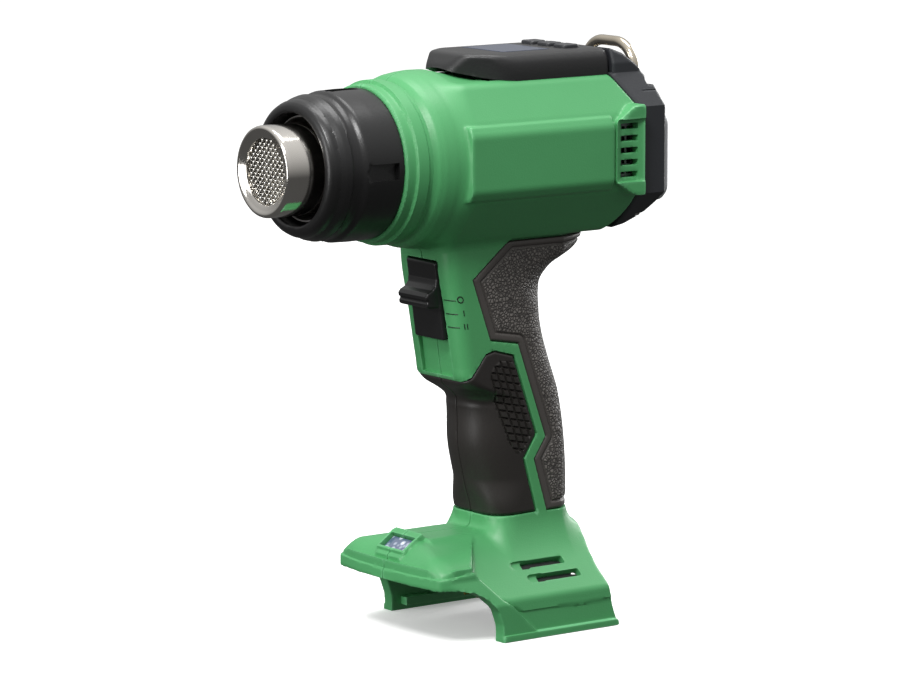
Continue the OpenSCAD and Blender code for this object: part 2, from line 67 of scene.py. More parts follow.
def to_row(points):
    """Barrel-frame millimetres to row metres."""
    return np.asarray(points) * MM + np.array([NOSE_X, 0.0, AXIS_Z])


def make_piece(name, points, faces, material, body="root", stands_for=(), slot=None):
    """A mesh object from an array of points and an array of faces with equal numbers of corners."""
    faces = np.asarray(faces, dtype=np.int32)
    a, b, c, d = (points[faces[:, k]] for k in range(4))
    volume = np.sum(np.cross(b - a, c - a) * (a + b + c)) + np.sum(np.cross(c - a, d - a) * (a + c + d))
    if volume < 0:
        faces = faces[:, ::-1]
    mesh = bpy.data.meshes.new(name)
    mesh.vertices.add(len(points))
    mesh.vertices.foreach_set("co", to_row(points).astype(np.float32).ravel())
    mesh.loops.add(faces.size)
    mesh.loops.foreach_set("vertex_index", faces.ravel())
    mesh.polygons.add(len(faces))
    mesh.polygons.foreach_set("loop_start", np.arange(0, faces.size, faces.shape[1], dtype=np.int32))
    mesh.polygons.foreach_set("use_smooth", np.ones(len(faces), dtype=bool))
    mesh.update(calc_edges=True)
    mesh.validate()
    mesh.set_sharp_from_angle(angle=SHARP)
    mesh.materials.append(material)
    piece = bpy.data.objects.new(name, mesh)
    bpy.context.collection.objects.link(piece)
    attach(piece, body)
    if stands_for:
        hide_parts(*stands_for)
    return piece


def grid_faces(rows, columns, close_rows, close_columns):
    """Quads over a grid of points stored row by row; either way round may close on itself."""
    i = np.arange(rows if close_rows else rows - 1)
    j = np.arange(columns if close_columns else columns - 1)
    i, j = np.meshgrid(i, j, indexing="ij")
    a = i * columns + j
    b = i * columns + (j + 1) % columns
    c = ((i + 1) % rows) * columns + (j + 1) % columns
    d = ((i + 1) % rows) * columns + j
    return np.stack([a, b, c, d], axis=-1).reshape(-1, 4)


def turned(profile, steps=128):
    """A closed profile of (x, r) turned round the barrel axis: points (x, r cos a, r sin a)."""
    profile = np.asarray(profile, dtype=float)
    angle = np.linspace(0, 2 * math.pi, steps, endpoint=False)
    x, r = profile[:, :1], profile[:, 1:]
    points = np.stack([x + 0 * angle, r * np.cos(angle), r * np.sin(angle)], axis=-1)
    return points.reshape(-1, 3), grid_faces(len(profile), steps, True, True)


def swept(path, radius, sides=12, beside=(1.0, 0.0, 0.0)):
    """A round bar along a path of points, with bevelled and closed ends.

    Its rings lie across the path, turned from a direction that the path never runs along.
    """
    path = np.asarray(path, dtype=float)
    run = np.gradient(path, axis=0)
    run /= np.linalg.norm(run, axis=1, keepdims=True)
    across = np.cross(run, np.asarray(beside))
    across /= np.linalg.norm(across, axis=1, keepdims=True)
    up = np.cross(run, across)
    angle = np.linspace(0, 2 * math.pi, sides, endpoint=False)
    ring = across[:, None] * np.cos(angle)[None, :, None] + up[:, None] * np.sin(angle)[None, :, None]
    size = np.full(len(path), float(radius))
    size[0] = size[-1] = 0.6 * radius
    points = (path[:, None] + size[:, None, None] * ring).reshape(-1, 3)
    faces = grid_faces(len(path), sides, False, True)
    k = np.arange(sides // 2 - 1)
    last = (len(path) - 1) * sides
    front = np.stack([k + 1, k, sides - 1 - k, sides - 2 - k], axis=1)
    back = np.stack([k, k + 1, sides - 2 - k, sides - 1 - k], axis=1) + last
    return points, np.concatenate([faces, front, back])


def joined(parts):
    """Several meshes of quads as one."""
    start = np.cumsum([0] + [len(points) for points, _ in parts])
    points = np.concatenate([points for points, _ in parts])
    return points, np.concatenate([faces + start[k] for k, (_, faces) in enumerate(parts)])


# ---- fields ---------------------------------------------------------------------------------

BLOCK = 4          # grid points along one side of a block that is first sampled once
NEAR_BLOCKS = 2.2  # blocks within this many block widths of the surface are sampled in full
STIFFNESS = 0.04   # pull of each vertex towards the middle of its crossings


def both(a, b, k=0.0):
    """Where both shapes are: the larger distance, with an edge rounded over about k."""
    k = np.maximum(k, 1e-9)
    h = np.clip(0.5 + 0.5 * (a - b) / k, 0, 1)
    return b + (a - b) * h + k * h * (1 - h)


def either(a, b, k=0.0):
    """Where either shape is: the smaller distance, with a fillet of about k."""
    return -both(-a, -b, k)


def without(a, b, k=0.0):
    """The first shape with the second taken away."""
    return both(a, -b, k)


def beyond(u, v, start, end):
    """Distance to the left of the line from start to end, seen with u to the right and v up."""
    du, dv = end[0] - start[0], end[1] - start[1]
    return (du * (v - start[1]) - dv * (u - start[0])) / math.hypot(du, dv)


def slab(u, low, high):
    """Distance outside a range of one coordinate."""
    return np.maximum(low - u, u - high)


def box_field(x, y, z, low, high, k=0.0):
    """A box between two corners, with edges rounded over about k."""
    return both(both(slab(x, low[0], high[0]), slab(y, low[1], high[1]), k), slab(z, low[2], high[2]), k)


def convex(u, v, corners, k=0.0):
    """A convex outline given clockwise, with corners rounded over about k."""
    field = None
    for start, end in zip(corners, corners[1:] + corners[:1]):
        side = beyond(u, v, start, end)
        field = side if field is None else both(field, side, k)
    return field


def outline(u, v, corners):
    """Exact signed distance to any closed outline: nearest edge, and an even-odd test for inside."""
    nearest = np.full(u.shape, np.inf)
    inside = np.zeros(u.shape, dtype=bool)
    for (u0, v0), (u1, v1) in zip(corners, corners[1:] + corners[:1]):
        du, dv = u1 - u0, v1 - v0
        t = np.clip(((u - u0) * du + (v - v0) * dv) / (du * du + dv * dv), 0, 1)
        nearest = np.minimum(nearest, (u - u0 - t * du) ** 2 + (v - v0 - t * dv) ** 2)
        if dv != 0:
            inside ^= ((v0 > v) != (v1 > v)) & (u < u0 + (v - v0) * du / dv)
    return np.sqrt(nearest) * np.where(inside, -1, 1)


def smooth_curve(t, knots):
    """A smooth line through (t, value) knots, which rise in t: cubic pieces with averaged slopes."""
    knots = np.asarray(knots, dtype=float)
    at, value = knots[:, 0], knots[:, 1]
    slope = np.gradient(value, at)
    t = np.clip(t, at[0], at[-1])
    i = np.clip(np.searchsorted(at, t) - 1, 0, len(at) - 2)
    step = at[i + 1] - at[i]
    s = (t - at[i]) / step
    return ((2 * s ** 3 - 3 * s ** 2 + 1) * value[i] + (s ** 3 - 2 * s ** 2 + s) * step * slope[i]
            + (3 * s ** 2 - 2 * s ** 3) * value[i + 1] + (s ** 3 - s ** 2) * step * slope[i + 1])


def sample(field, axes, step):
    """The field on a grid, worked out in full only near its surface; elsewhere only its sign matters."""
    coarse = [axis[::BLOCK] + step * (BLOCK - 1) / 2 for axis in axes]
    rough = field(*np.meshgrid(*coarse, indexing="ij"))
    shape = tuple(len(axis) for axis in axes)
    for a in range(3):
        rough = np.repeat(rough, BLOCK, axis=a)
    value = rough[:shape[0], :shape[1], :shape[2]].copy()
    near = np.nonzero(np.abs(value) < NEAR_BLOCKS * BLOCK * step)
    value[near] = field(*(axes[a][near[a]] for a in range(3)))
    return value


def contour(field, low, high, step):
    """The zero surface of a field between two corners, by dual contouring.

    Each grid edge that the surface crosses gives a point and a normal. Each cell puts one vertex
    where the planes of its crossings meet, by least squares, and each crossed edge makes a quad.
    """
    low = np.asarray(low, dtype=float)
    count = np.ceil((np.asarray(high) - low) / step).astype(int) + 1
    value = sample(field, [low[a] + step * np.arange(count[a]) for a in range(3)], step)
    cells = count - 1
    crossings, owners, quads = [], [], []
    for a in range(3):
        b, c = (a + 1) % 3, (a + 2) % 3
        first = [slice(None)] * 3
        second = [slice(None)] * 3
        first[a], second[a] = slice(0, -1), slice(1, None)
        for other in (b, c):
            first[other] = second[other] = slice(1, -1)
        near, far = value[tuple(first)], value[tuple(second)]
        index = np.argwhere((near < 0) != (far < 0))
        if len(index) == 0:
            continue
        f0, f1 = near[tuple(index.T)], far[tuple(index.T)]
        index[:, b] += 1
        index[:, c] += 1
        place = low + step * index
        place[:, a] += step * f0 / (f0 - f1)
        crossings.append(place)
        around = []
        for shift_b, shift_c in ((-1, -1), (0, -1), (0, 0), (-1, 0)):
            cell = index.copy()
            cell[:, b] += shift_b
            cell[:, c] += shift_c
            around.append(np.ravel_multi_index(cell.T, cells))
        around = np.stack(around, axis=1)
        owners.append(around)
        quads.append(np.where((f0 < 0)[:, None], around, around[:, ::-1]))
    place = np.concatenate(crossings)
    owner = np.concatenate(owners)
    quad = np.concatenate(quads)
    tiny = 0.02 * step
    here = field(*place.T)
    slope = np.stack([field(*(place + tiny * np.eye(3)[a]).T) - field(*(place - tiny * np.eye(3)[a]).T)
                      for a in range(3)], axis=1) / (2 * tiny)
    length = np.maximum(np.linalg.norm(slope, axis=1, keepdims=True), 1e-6)
    normal = slope / length
    place = place - normal * np.clip(here[:, None] / length, -0.5 * step, 0.5 * step)
    used, compact = np.unique(owner, return_inverse=True)
    compact = compact.reshape(-1)
    total = len(used)

    def gather(weights):
        return np.bincount(compact, weights=np.repeat(weights, 4), minlength=total)

    number = gather(np.ones(len(place)))
    centre = np.stack([gather(place[:, a]) for a in range(3)], axis=1) / number[:, None]
    along = np.einsum("na,na->n", normal, place)
    matrix = np.empty((total, 3, 3))
    right = np.empty((total, 3))
    for a in range(3):
        right[:, a] = gather(normal[:, a] * along)
        for b in range(3):
            matrix[:, a, b] = gather(normal[:, a] * normal[:, b])
    right -= np.einsum("nab,nb->na", matrix, centre)
    matrix += np.eye(3) * STIFFNESS
    move = np.linalg.solve(matrix, right[:, :, None])[:, :, 0]
    reach = np.linalg.norm(move, axis=1, keepdims=True)
    move *= np.minimum(1, 0.9 * step / np.maximum(reach, 1e-9))
    return centre + move, np.searchsorted(used, quad)


def mirrored(points, faces):
    """The same surface on the other side of the split plane, still facing outwards."""
    return points * np.array([1, -1, 1]), faces[:, ::-1]


# ---- materials ------------------------------------------------------------------------------

def linear(hex_colour):
    """An sRGB hex colour as linear RGBA."""
    parts = [int(hex_colour[i:i + 2], 16) / 255 for i in (1, 3, 5)]
    return [c / 12.92 if c <= 0.04045 else ((c + 0.055) / 1.055) ** 2.4 for c in parts] + [1.0]


def new_material(name):
    """A material and its Principled shader."""
    material = bpy.data.materials.new(name)
    material.use_nodes = True
    return material, material.node_tree.nodes["Principled BSDF"]


def add(material, kind, settings=None, **links):
    """Adds a shader node with its settings, and links each named input to an output socket."""
    node = material.node_tree.nodes.new(kind)
    for key, value in (settings or {}).items():
        if key in node.inputs:
            node.inputs[key].default_value = value
        else:
            setattr(node, key, value)
    for key, source in links.items():
        material.node_tree.links.new(source, node.inputs[key.replace("_", " ")])
    return node


def link(material, source, target):
    material.node_tree.links.new(source, target)


def moulded(name, base, dark, rough, grain_mm, grain_depth, rough_spread=0.06, edge_highlight=None):
    """Moulded plastic or rubber with the fine pits of a spark-eroded mould.

    A slow noise shifts the colour a little, as flow in the mould does, a fine one makes the pits,
    and sharp edges get a painted highlight, a lighter colour, where an edge colour is given.
    """
    material, shader = new_material(name)
    place = add(material, "ShaderNodeTexCoord").outputs["Object"]
    slow = add(material, "ShaderNodeTexNoise", {"Scale": 35.0, "Detail": 3.0}, Vector=place)
    mix = add(material, "ShaderNodeMixRGB", {"Color1": linear(base), "Color2": linear(dark)},
              Fac=slow.outputs["Fac"])
    colour = mix.outputs["Color"]
    # Painted highlight: where the surface is sharply convex, the colour is mixed towards the lighter edge
    # colour.
    if edge_highlight:
        edge = add(material, "ShaderNodeNewGeometry").outputs["Pointiness"]
        ramp = add(material, "ShaderNodeMapRange", {"From Min": 0.53, "From Max": 0.62}, Value=edge)
        mix = add(material, "ShaderNodeMixRGB", {"Color2": linear(edge_highlight)}, Fac=ramp.outputs["Result"],
                  Color1=colour)
        colour = mix.outputs["Color"]
    link(material, colour, shader.inputs["Base Color"])
    fine = add(material, "ShaderNodeTexNoise", {"Scale": 1 / (grain_mm * MM), "Detail": 2.0,
                                                "Roughness": 0.6}, Vector=place)
    spread = add(material, "ShaderNodeMapRange", {"To Min": rough - rough_spread,
                                                  "To Max": rough + rough_spread},
                 Value=fine.outputs["Fac"])
    link(material, spread.outputs["Result"], shader.inputs["Roughness"])
    bump = add(material, "ShaderNodeBump", {"Strength": 0.6, "Distance": grain_depth * MM},
               Height=fine.outputs["Fac"])
    link(material, bump.outputs["Normal"], shader.inputs["Normal"])
    shader.inputs["IOR"].default_value = 1.5
    return material


def metal(name, base, rough, scratch_scale=(1.0, 1.0, 1.0), scratch=0.05, tint=None):
    """Bare or plated metal: a little uneven polish, drawn out along one axis where it was turned."""
    material, shader = new_material(name)
    place = add(material, "ShaderNodeTexCoord").outputs["Object"]
    stretch = add(material, "ShaderNodeMapping", {"Scale": scratch_scale}, Vector=place)
    noise = add(material, "ShaderNodeTexNoise", {"Scale": 900.0, "Detail": 4.0},
                Vector=stretch.outputs["Vector"])
    spread = add(material, "ShaderNodeMapRange", {"To Min": max(rough - scratch, 0.02),
                                                  "To Max": rough + scratch},
                 Value=noise.outputs["Fac"])
    link(material, spread.outputs["Result"], shader.inputs["Roughness"])
    slow = add(material, "ShaderNodeTexNoise", {"Scale": 60.0, "Detail": 2.0}, Vector=place)
    mix = add(material, "ShaderNodeMixRGB", {"Color1": linear(base), "Color2": linear(tint or base)},
              Fac=slow.outputs["Fac"])
    link(material, mix.outputs["Color"], shader.inputs["Base Color"])
    bump = add(material, "ShaderNodeBump", {"Strength": 0.15, "Distance": 0.02 * MM},
               Height=noise.outputs["Fac"])
    link(material, bump.outputs["Normal"], shader.inputs["Normal"])
    shader.inputs["Metallic"].default_value = 1.0
    return material


# Glass-filled nylon out of a spark-eroded mould: a soft, even sheen broken by fine pits.
# Its last colour is a painted highlight along sharp edges.
GREEN = moulded("green_glass_filled_nylon", "#4fa064", "#48965c", 0.42, 0.6, 0.07, edge_highlight="#6fba84")
# The same nylon in black, for the top panel: a wider, duller highlight.
# Its last colour is a painted highlight along sharp edges.
BLACK = moulded("black_glass_filled_nylon", "#1c1c1d", "#181819", 0.42, 0.7, 0.1, edge_highlight="#2c2c2d")
# Heat-resistant nylon of the guard, nearly smooth on its bands.
GUARD = moulded("heat_resistant_nylon", "#171718", "#141414", 0.34, 0.6, 0.05)
# Charcoal nylon of the rear cover and keys.
CHARCOAL = moulded("charcoal_nylon", "#2b2d31", "#26282c", 0.5, 0.6, 0.06)
# Smooth elastomer over the front of the grip.
SOFT = moulded("smooth_elastomer", "#2b2826", "#262321", 0.4, 0.9, 0.03)
# Light grey elastomer of the rear pad.
PAD = moulded("grey_elastomer", "#b9bbbd", "#abadaf", 0.55, 0.7, 0.05)
# Polished stainless tube, turned: fine rings round the axis.
STAINLESS = metal("polished_stainless", "#d9d6d1", 0.12, (6.0, 1.0, 1.0), 0.05, "#c9c4bc")
# Nickel-plated wire: warm, bright and a little soft.
NICKEL = metal("nickel_plate", "#cfc6b6", 0.16, (1.0, 1.0, 1.0), 0.05, "#bdb3a1")
# Plain steel for springs, shields and screens.
STEEL = metal("plain_steel", "#a9a8a6", 0.32)
# Acetal slider: black, nearly smooth, a clear highlight along its edges.
# Its last colour is a painted highlight along sharp edges.
SWITCH = moulded("black_acetal", "#19191a", "#161617", 0.34, 0.5, 0.02, edge_highlight="#2a2a2b")
# Keys of a harder elastomer: grey-black, with a soft sheen.
KEY = moulded("key_elastomer", "#2f3033", "#2a2b2e", 0.45, 0.5, 0.03)
# Black-oxide screws.
OXIDE = metal("black_oxide_steel", "#3a3a3c", 0.35)
# Woven stainless wire: bright on each crown, dark between.
MESH = metal("woven_stainless", "#c4c2bd", 0.22)
# Paint in the engraved marks.
MARK = moulded("mark_paint", "#0e2414", "#0b1f11", 0.5, 0.4, 0.01)
# Zinc-plated steel: grey, with a soft uneven shine.
ZINC = metal("zinc_plate", "#b9bbbd", 0.28, tint="#a9abae")
# Fired steatite: matt off-white.
CERAMIC = moulded("fired_steatite", "#e6e0d2", "#dbd4c4", 0.7, 0.8, 0.04)
# Rolled mica sheet: tan, with a faint gloss.
MICA = moulded("mica_sheet", "#b9a77c", "#a5946b", 0.4, 2.0, 0.03)
# Iron-chromium wire after heat: grey-brown.
COIL = metal("iron_chromium_wire", "#8d8378", 0.45, tint="#6f665c")
# Sintered ferrite: dark grey, matt.
FERRITE = moulded("sintered_ferrite", "#3b3b40", "#333338", 0.6, 0.5, 0.04)
# Stacked electrical steel, lacquered.
LAMINATE = metal("electrical_steel", "#8a8f94", 0.4, (1.0, 0.1, 0.1))
# Turned copper, a little browned.
COPPER = metal("copper", "#b87348", 0.25, (0.2, 1.0, 1.0), tint="#a5653e")
# Sintered bronze: dull, from its oil.
BRONZE = metal("sintered_bronze", "#a6825a", 0.42, tint="#8f6f4b")
# Stamped brass: bright along its edges.
BRASS = metal("tinned_brass", "#c8a65a", 0.24, tint="#b99548")
# Extruded aluminium with the die's fine lines.
SINK = metal("extruded_aluminium", "#b5b8bb", 0.35, (1.0, 1.0, 0.1))
# Fine steel gauze, dulled by dust.
FILTER = metal("filter_gauze", "#77797b", 0.4)
# Polycarbonate over the display: smoked, glossy, with a hard highlight.
GLASS = moulded("display_polycarbonate", "#3c4760", "#38425a", 0.12, 0.8, 0.0, 0.02)
# The display's own glass, with nothing lit.
CELL = moulded("display_cell", "#4b5568", "#454e61", 0.25, 2.0, 0.0)
# Solder mask over glass fibre.
BOARD = moulded("solder_mask", "#2f6b3d", "#285f35", 0.35, 1.2, 0.02)
# Heat-shrunk film round the capacitor.
CAN = moulded("heat_shrunk_film", "#30343c", "#2a2e35", 0.3, 1.5, 0.02)
# Glass-fibre sleeving and stranded wire in coloured insulation.
SLEEVE = moulded("glass_fibre_sleeve", "#e4e2dc", "#d6d4cc", 0.75, 0.6, 0.1)
WIRE = moulded("wire_insulation", "#9a2320", "#8a1e1b", 0.4, 0.8, 0.02)


def pebbled_rubber():
    """Elastomer over the back of the grip, pebbled like leather and smooth along its border.

    The mesh's "grain" value is 1 where the mould was pebbled and 0 on the border. Pebbles are about
    1.2 mm across; their colour is painted, with a painted highlight on the crests and painted shade in the
    valleys.
    """
    material, shader = new_material("grained_elastomer")
    place = add(material, "ShaderNodeTexCoord").outputs["Object"]
    cells = add(material, "ShaderNodeTexVoronoi", {"feature": "DISTANCE_TO_EDGE", "Scale": 1 / (1.25 * MM)},
                Vector=place)
    pebble = add(material, "ShaderNodeMapRange", {"From Min": 0.02, "From Max": 0.3},
                 Value=cells.outputs["Distance"]).outputs["Result"]
    grain = add(material, "ShaderNodeAttribute", {"attribute_name": "grain"}).outputs["Fac"]
    # Painted light and shade: the pebbles are coloured lighter on their crests and darker in their valleys.
    pebble_light_and_shade = add(material, "ShaderNodeMixRGB", {"Color1": linear("#322f2d"), "Color2": linear("#75706c")},
                  Fac=pebble).outputs["Color"]
    colour = add(material, "ShaderNodeMixRGB", {"Color1": linear("#4a4643")}, Fac=grain,
                 Color2=pebble_light_and_shade).outputs["Color"]
    link(material, colour, shader.inputs["Base Color"])
    height = add(material, "ShaderNodeMixRGB", {"Color1": (1, 1, 1, 1)}, Fac=grain,
                 Color2=pebble).outputs["Color"]
    bump = add(material, "ShaderNodeBump", {"Strength": 0.8, "Distance": 0.3 * MM}, Height=height)
    link(material, bump.outputs["Normal"], shader.inputs["Normal"])
    shader.inputs["Roughness"].default_value = 0.52
    return material


GRAINED = pebbled_rubber()


def lamp_window():
    """Clear polycarbonate over the lamp: cool, with painted glints inside it, a painted reflection of the
    reflector.
    """
    material, shader = new_material("clear_polycarbonate")
    place = add(material, "ShaderNodeTexCoord").outputs["Object"]
    painted_reflector_glints = add(material, "ShaderNodeTexVoronoi", {"Scale": 1 / (2.6 * MM)}, Vector=place)
    # Painted reflection: bright glints at the cells' middles and darker colour between them.
    ramp = add(material, "ShaderNodeValToRGB", Fac=painted_reflector_glints.outputs["Distance"])
    ramp.color_ramp.elements[0].color = linear("#e6eefc")
    ramp.color_ramp.elements[0].position = 0.12
    ramp.color_ramp.elements[1].color = linear("#56647f")
    ramp.color_ramp.elements[1].position = 0.55
    link(material, ramp.outputs["Color"], shader.inputs["Base Color"])
    shader.inputs["Roughness"].default_value = 0.08
    shader.inputs["IOR"].default_value = 1.58
    shader.inputs["Coat Weight"].default_value = 0.6
    return material


WINDOW = lamp_window()


# ---- moulded shells -------------------------------------------------------------------------

# Factors such as 0.9 on a difference along x turn it into a distance square to a sloping surface.
SEAM = 0.06            # each half stops this far from the split plane
SEAM_EDGE = 0.8        # rounding of a half's edge along the split
REAR_X = 150.0
DUCT_R = 28.4
TRACK = (74.6, -53.0)  # middle of the switch track on the handle's front
TRACK_LEAN = math.radians(8)
GRIP_T = 2.2           # thickness of the grip covers
GRIP_GAP = 0.4         # dark line round each grip cover
HEAD_R = 3.0           # radius of a screw's head
LAMP = (61.6, -145.3)  # middle of the lamp window, as (x, z)
LAMP_LEAN = math.radians(35)
VENT_PITCH = 4.55      # from one inlet slot to the next
VENT_MIDDLE = 1.4      # height of the middle slot
VENT_HALF = 2.5 * VENT_PITCH
SHOULDER_LEAN = math.radians(41)
SHOULDER_SLOT = np.array([0.0, 26.0, -153.4])      # on the middle line of the upper slot
SHOULDER_SLOT_STEP = np.array([4.0, 5.0, -4.6])    # from the upper slot to the lower one
KEY_X = 132.0
KEY_PITCH = 10.0

# Front and back of the handle as (z, x)
FRONT_KNOTS = [(-150, 92.8), (-142.6, 94.2), (-137, 94.6), (-124, 91.4), (-110, 88.4), (-95, 87.8),
               (-90.5, 87.2), (-88.4, 85.0), (-86, 81.9), (-82.6, 79.8), (-77.8, 78.9), (-58, 75.5),
               (-38.4, 72.1), (-33.9, 71.8), (-18, 71.8)]
REAR_KNOTS = [(-150, 134.6), (-144, 134.2), (-135, 134), (-118, 133.5), (-105, 132), (-90, 128.5),
              (-77.5, 124), (-68, 121), (-60, 119.6), (-52, 119.8), (-45.5, 122.5), (-40.5, 129.5),
              (-37.8, 137.4), (-35.2, 142.4), (-33, 144.6), (-30, 144.9), (-24, 143)]
# Radius of the collar along the barrel, as (x, r)
COLLAR_KNOTS = np.array([[43, 28.6], [44, 28.7], [44.8, 29.4], [48, 29.5], [48.6, 30.7], [53, 30.8],
                         [54, 30.0], [55.5, 30.0], [57.5, 31.6], [60, 32.4], [64, 33.0], [68, 33.3],
                         [73, 33.2], [78, 32.0], [84, 30.6], [90, 29.0]])
# Outlines in side view, as (x, z)
GRIP_REAR = [(100.5, -30.6), (83, -44.8), (91.5, -68.6), (104.4, -70.8), (117.4, -107.2),
             (112, -115.4), (118.2, -136), (150, -136.2), (160, -100), (160, -30.6)]
GRIP_FRONT = [(74, -88), (82.8, -81.6), (89.3, -73.2), (93.5, -72.2), (102.5, -74.7),
              (113.5, -105.8), (107.7, -114.9), (113.6, -135.9), (70, -137.2)]
PAD_FIELD = [(92.6, -78.6), (96, -76.2), (101.6, -77.0), (103.6, -80), (111.4, -105.4),
             (107.0, -112.2), (103.6, -112.5), (100.3, -108.2), (96.4, -97.5), (91.2, -82.4)]
SKIRT_LOW = [(60, -150), (71, -151), (81, -161.8), (90.7, -168), (145, -168.6), (145, -190), (60, -190)]
# The rim runs round the nose and down the skirts' front edges
RIM = [(50, -157.5), (50, -153.6), (57, -152.9), (71.5, -151.8), (82, -162.6), (86.5, -165.6), (98, -176.6),
       (98, FOOT_Z), (81.9, FOOT_Z), (81.9, -175.5), (81.5, -172.3), (79.5, -166.7), (75.6, -162.1),
       (70.4, -159.1), (65.5, -158), (63.5, -157.5)]
# Screws that hold the halves together: x, z, where the head's pocket starts, half the boss's length
SCREWS = [(83, -35.5, 13, 12.6), (84.6, -73.2, 13, 12.6), (101, -139.8, 13, 12.6),
          (127, -139.8, 13, 12.6), (74, -151.6, 22, 21.6), (100, 23.6, 18, 17), (137, 23.6, 18, 17)]


def step_up(t, low, high):
    """0 below low, 1 above high, and smooth between."""
    t = np.clip((t - low) / (high - low), 0, 1)
    return t * t * (3 - 2 * t)


def motor_body(x, y, z):
    """The faceted motor housing, for y on the positive side."""
    section = convex(y, z, [(-40, 29.4), (22, 29.4), (34, 13), (34, -12), (18, -31), (-40, -31)], 2.5)
    front = (np.hypot(y, z) - (30.5 + (x - 66) * 1.1)) * 0.67
    rear = both(both(x - REAR_X, beyond(x, z, (143, 29.4), (150.2, 17.5)), 1.5),
                beyond(x, z, (153, -21), (143, -31)), 4)
    body = both(both(section, front, 3.5), rear, 1.0)
    rib = convex(y, z, [(20, 14.6), (33.4, 14.6), (35.6, 11.2), (35.6, -9.8), (33.4, -13.2),
                        (20, -13.2)], 0.8)
    rib = both(rib, slab(x, 69.2, 135.8), 1.2)
    vent_block = convex(x, z, [(136.6, 12.5), (145, 18.4), (151, 18.4), (151, -15.8), (145, -15.8),
                               (136.6, -10.5)], 1.2)
    vent_block = both(both(vent_block, y - 36.2, 1.2), x - REAR_X, 0.8)
    scoop = both(np.hypot(x - 143.2, y - 46.4) - 12.6, slab(z - VENT_MIDDLE, -11.9, 11.9), 1.2)
    vent_block = without(vent_block, scoop, 0.5)
    body = either(body, rib, 0.6)
    return either(without(body, both(scoop, 34 - y), 0.3), vent_block, 0.6)


def handle_body(x, y, z):
    """The pistol grip and its hand tang: front and rear lines joined by rounded flanks."""
    front = smooth_curve(z, FRONT_KNOTS) - x
    rear = x - smooth_curve(z, REAR_KNOTS)
    lean = 0.98 - 0.36 * step_up(z, -58, -48)
    half_width = 17.0 - 5.5 * np.clip((x - 126) / 19, 0, 1)
    flank = y - half_width
    front_round = 6 + 12 * step_up(-z, 82, 94) - 7 * step_up(-z, 122, 134)
    grip = both(both(flank, rear * lean, 13), front * 0.985, front_round)
    return both(grip, slab(z, -150, -20))


def hood_place(x, z):
    """Coordinates of the lamp hood: along the slope, and out of it."""
    dx, dz = x - LAMP[0], z - LAMP[1]
    along = dx * math.cos(LAMP_LEAN) + dz * math.sin(LAMP_LEAN)
    return along, dz * math.cos(LAMP_LEAN) - dx * math.sin(LAMP_LEAN)


def foot_body(x, y, z):
    """The foot: a flat nose in a raised rim, and shoulders that fall away to the battery skirts."""
    plan = convex(x, y, [(53.9, -60), (54.0, 4), (54.8, 20), (57.0, 31.6), (59.6, 33.0), (70.5, 33.4),
                         (86, 13), (86, -60)], 1.2)
    top = convex(y, z, [(-60, -142.3), (9, -142.4), (28, -146.6), (33.5, -150.9), (36, -158),
                        (-60, -158)], 2.0)
    slope = both(beyond(x, z, (53.4, -153.7), (57.9, -146.8)),
                 beyond(x, z, (57.9, -146.8), (64.1, -142.3)), 1)
    nose = both(both(both(plan, top, 0.8), slope, 1.5), -153 - z)
    nose = either(nose, both(both(plan, slab(z, -157.5, -150)), x - 72))
    nose = both(nose, 0.5 * (y - 31.5) + 0.5 * (55.5 - x) + 0.707 * (z + 153.3), 1.5)
    along, out = hood_place(x, z)
    hood = both(both(slab(along, -4.6, 6.4), y - 8.8, 1.2), slab(out, -6, 2.0), 0.8)
    ledge = both(both(slab(along, -6.8, 0), y - 8.0, 1.2), slab(out, -6, 0.9), 0.8)
    nose = either(either(nose, ledge, 1.0), hood, 1.0)
    nose = without(nose, both(both(slab(along, -3.5, 3.5), y - 7.5), -0.2 - out), 0.3)
    shoulder = convex(y, z, [(-60, -141.6), (11, -142.0), (20, -148), (37.4, -163.2), (38.4, -177),
                             (38.5, FOOT_Z - 9), (-60, FOOT_Z - 9)], 1.0)
    shoulder = shoulder + 0.45 * step_up(-outline(x, z, SKIRT_LOW), -0.3, 0.4)
    lip = both(both(y - 38.9, slab(z, FOOT_Z + 0.1, -176.3), 0.5), -y)
    shoulder = both(either(shoulder, lip, 0.3), slab(z, FOOT_Z, -100))
    arc = np.hypot(x - 64.5, z + 175.5) - 17.4
    front_edge = both(beyond(x, z, (64, -158), (67, -142)), -arc, 1.0)
    rear_edge = x - smooth_curve(z, [(-180, 137.2), (-170, 134.2), (-163, 132.9), (-156, 132.6),
                                     (-149, 134), (-141, 134.2)])
    skirt = both(both(shoulder, front_edge, 1.0), rear_edge, 1.2)
    rim_plan = convex(x, y, [(53.3, -60), (53.4, 4), (54.2, 20), (56.4, 32.0), (58.8, 33.6), (100, 50),
                             (100, -60)], 1.2)
    rim_side = 34.0 + 4.3 * np.clip((-154.5 - z) / 10, 0, 1)
    rim = both(both(outline(x, z, RIM), rim_plan, 0.8), y - rim_side, 0.8)
    return either(either(nose, skirt, 1.5), rim, 0.3)


def track_place(x, z):
    """Coordinates out of the switch track and up it."""
    dx, dz = x - TRACK[0], z - TRACK[1]
    out = -(dx * math.cos(TRACK_LEAN) + dz * math.sin(TRACK_LEAN))
    up = -dx * math.sin(TRACK_LEAN) + dz * math.cos(TRACK_LEAN)
    return out, up


def outer_shape(x, y, z):
    """Everything green as one solid, before hollows and covers are taken away."""
    r = np.hypot(y, z)
    collar = both((r - np.interp(x, COLLAR_KNOTS[:, 0], COLLAR_KNOTS[:, 1])) * 0.9, slab(x, 44, 84), 0.3)
    top = either(collar, motor_body(x, y, z), 2.5)
    body = either(top, handle_body(x, y, z), 3.0)
    flare = 2.5 + 7 * step_up(y, 7, 16) * step_up(x, 90, 99)
    return either(body, foot_body(x, y, z), flare)


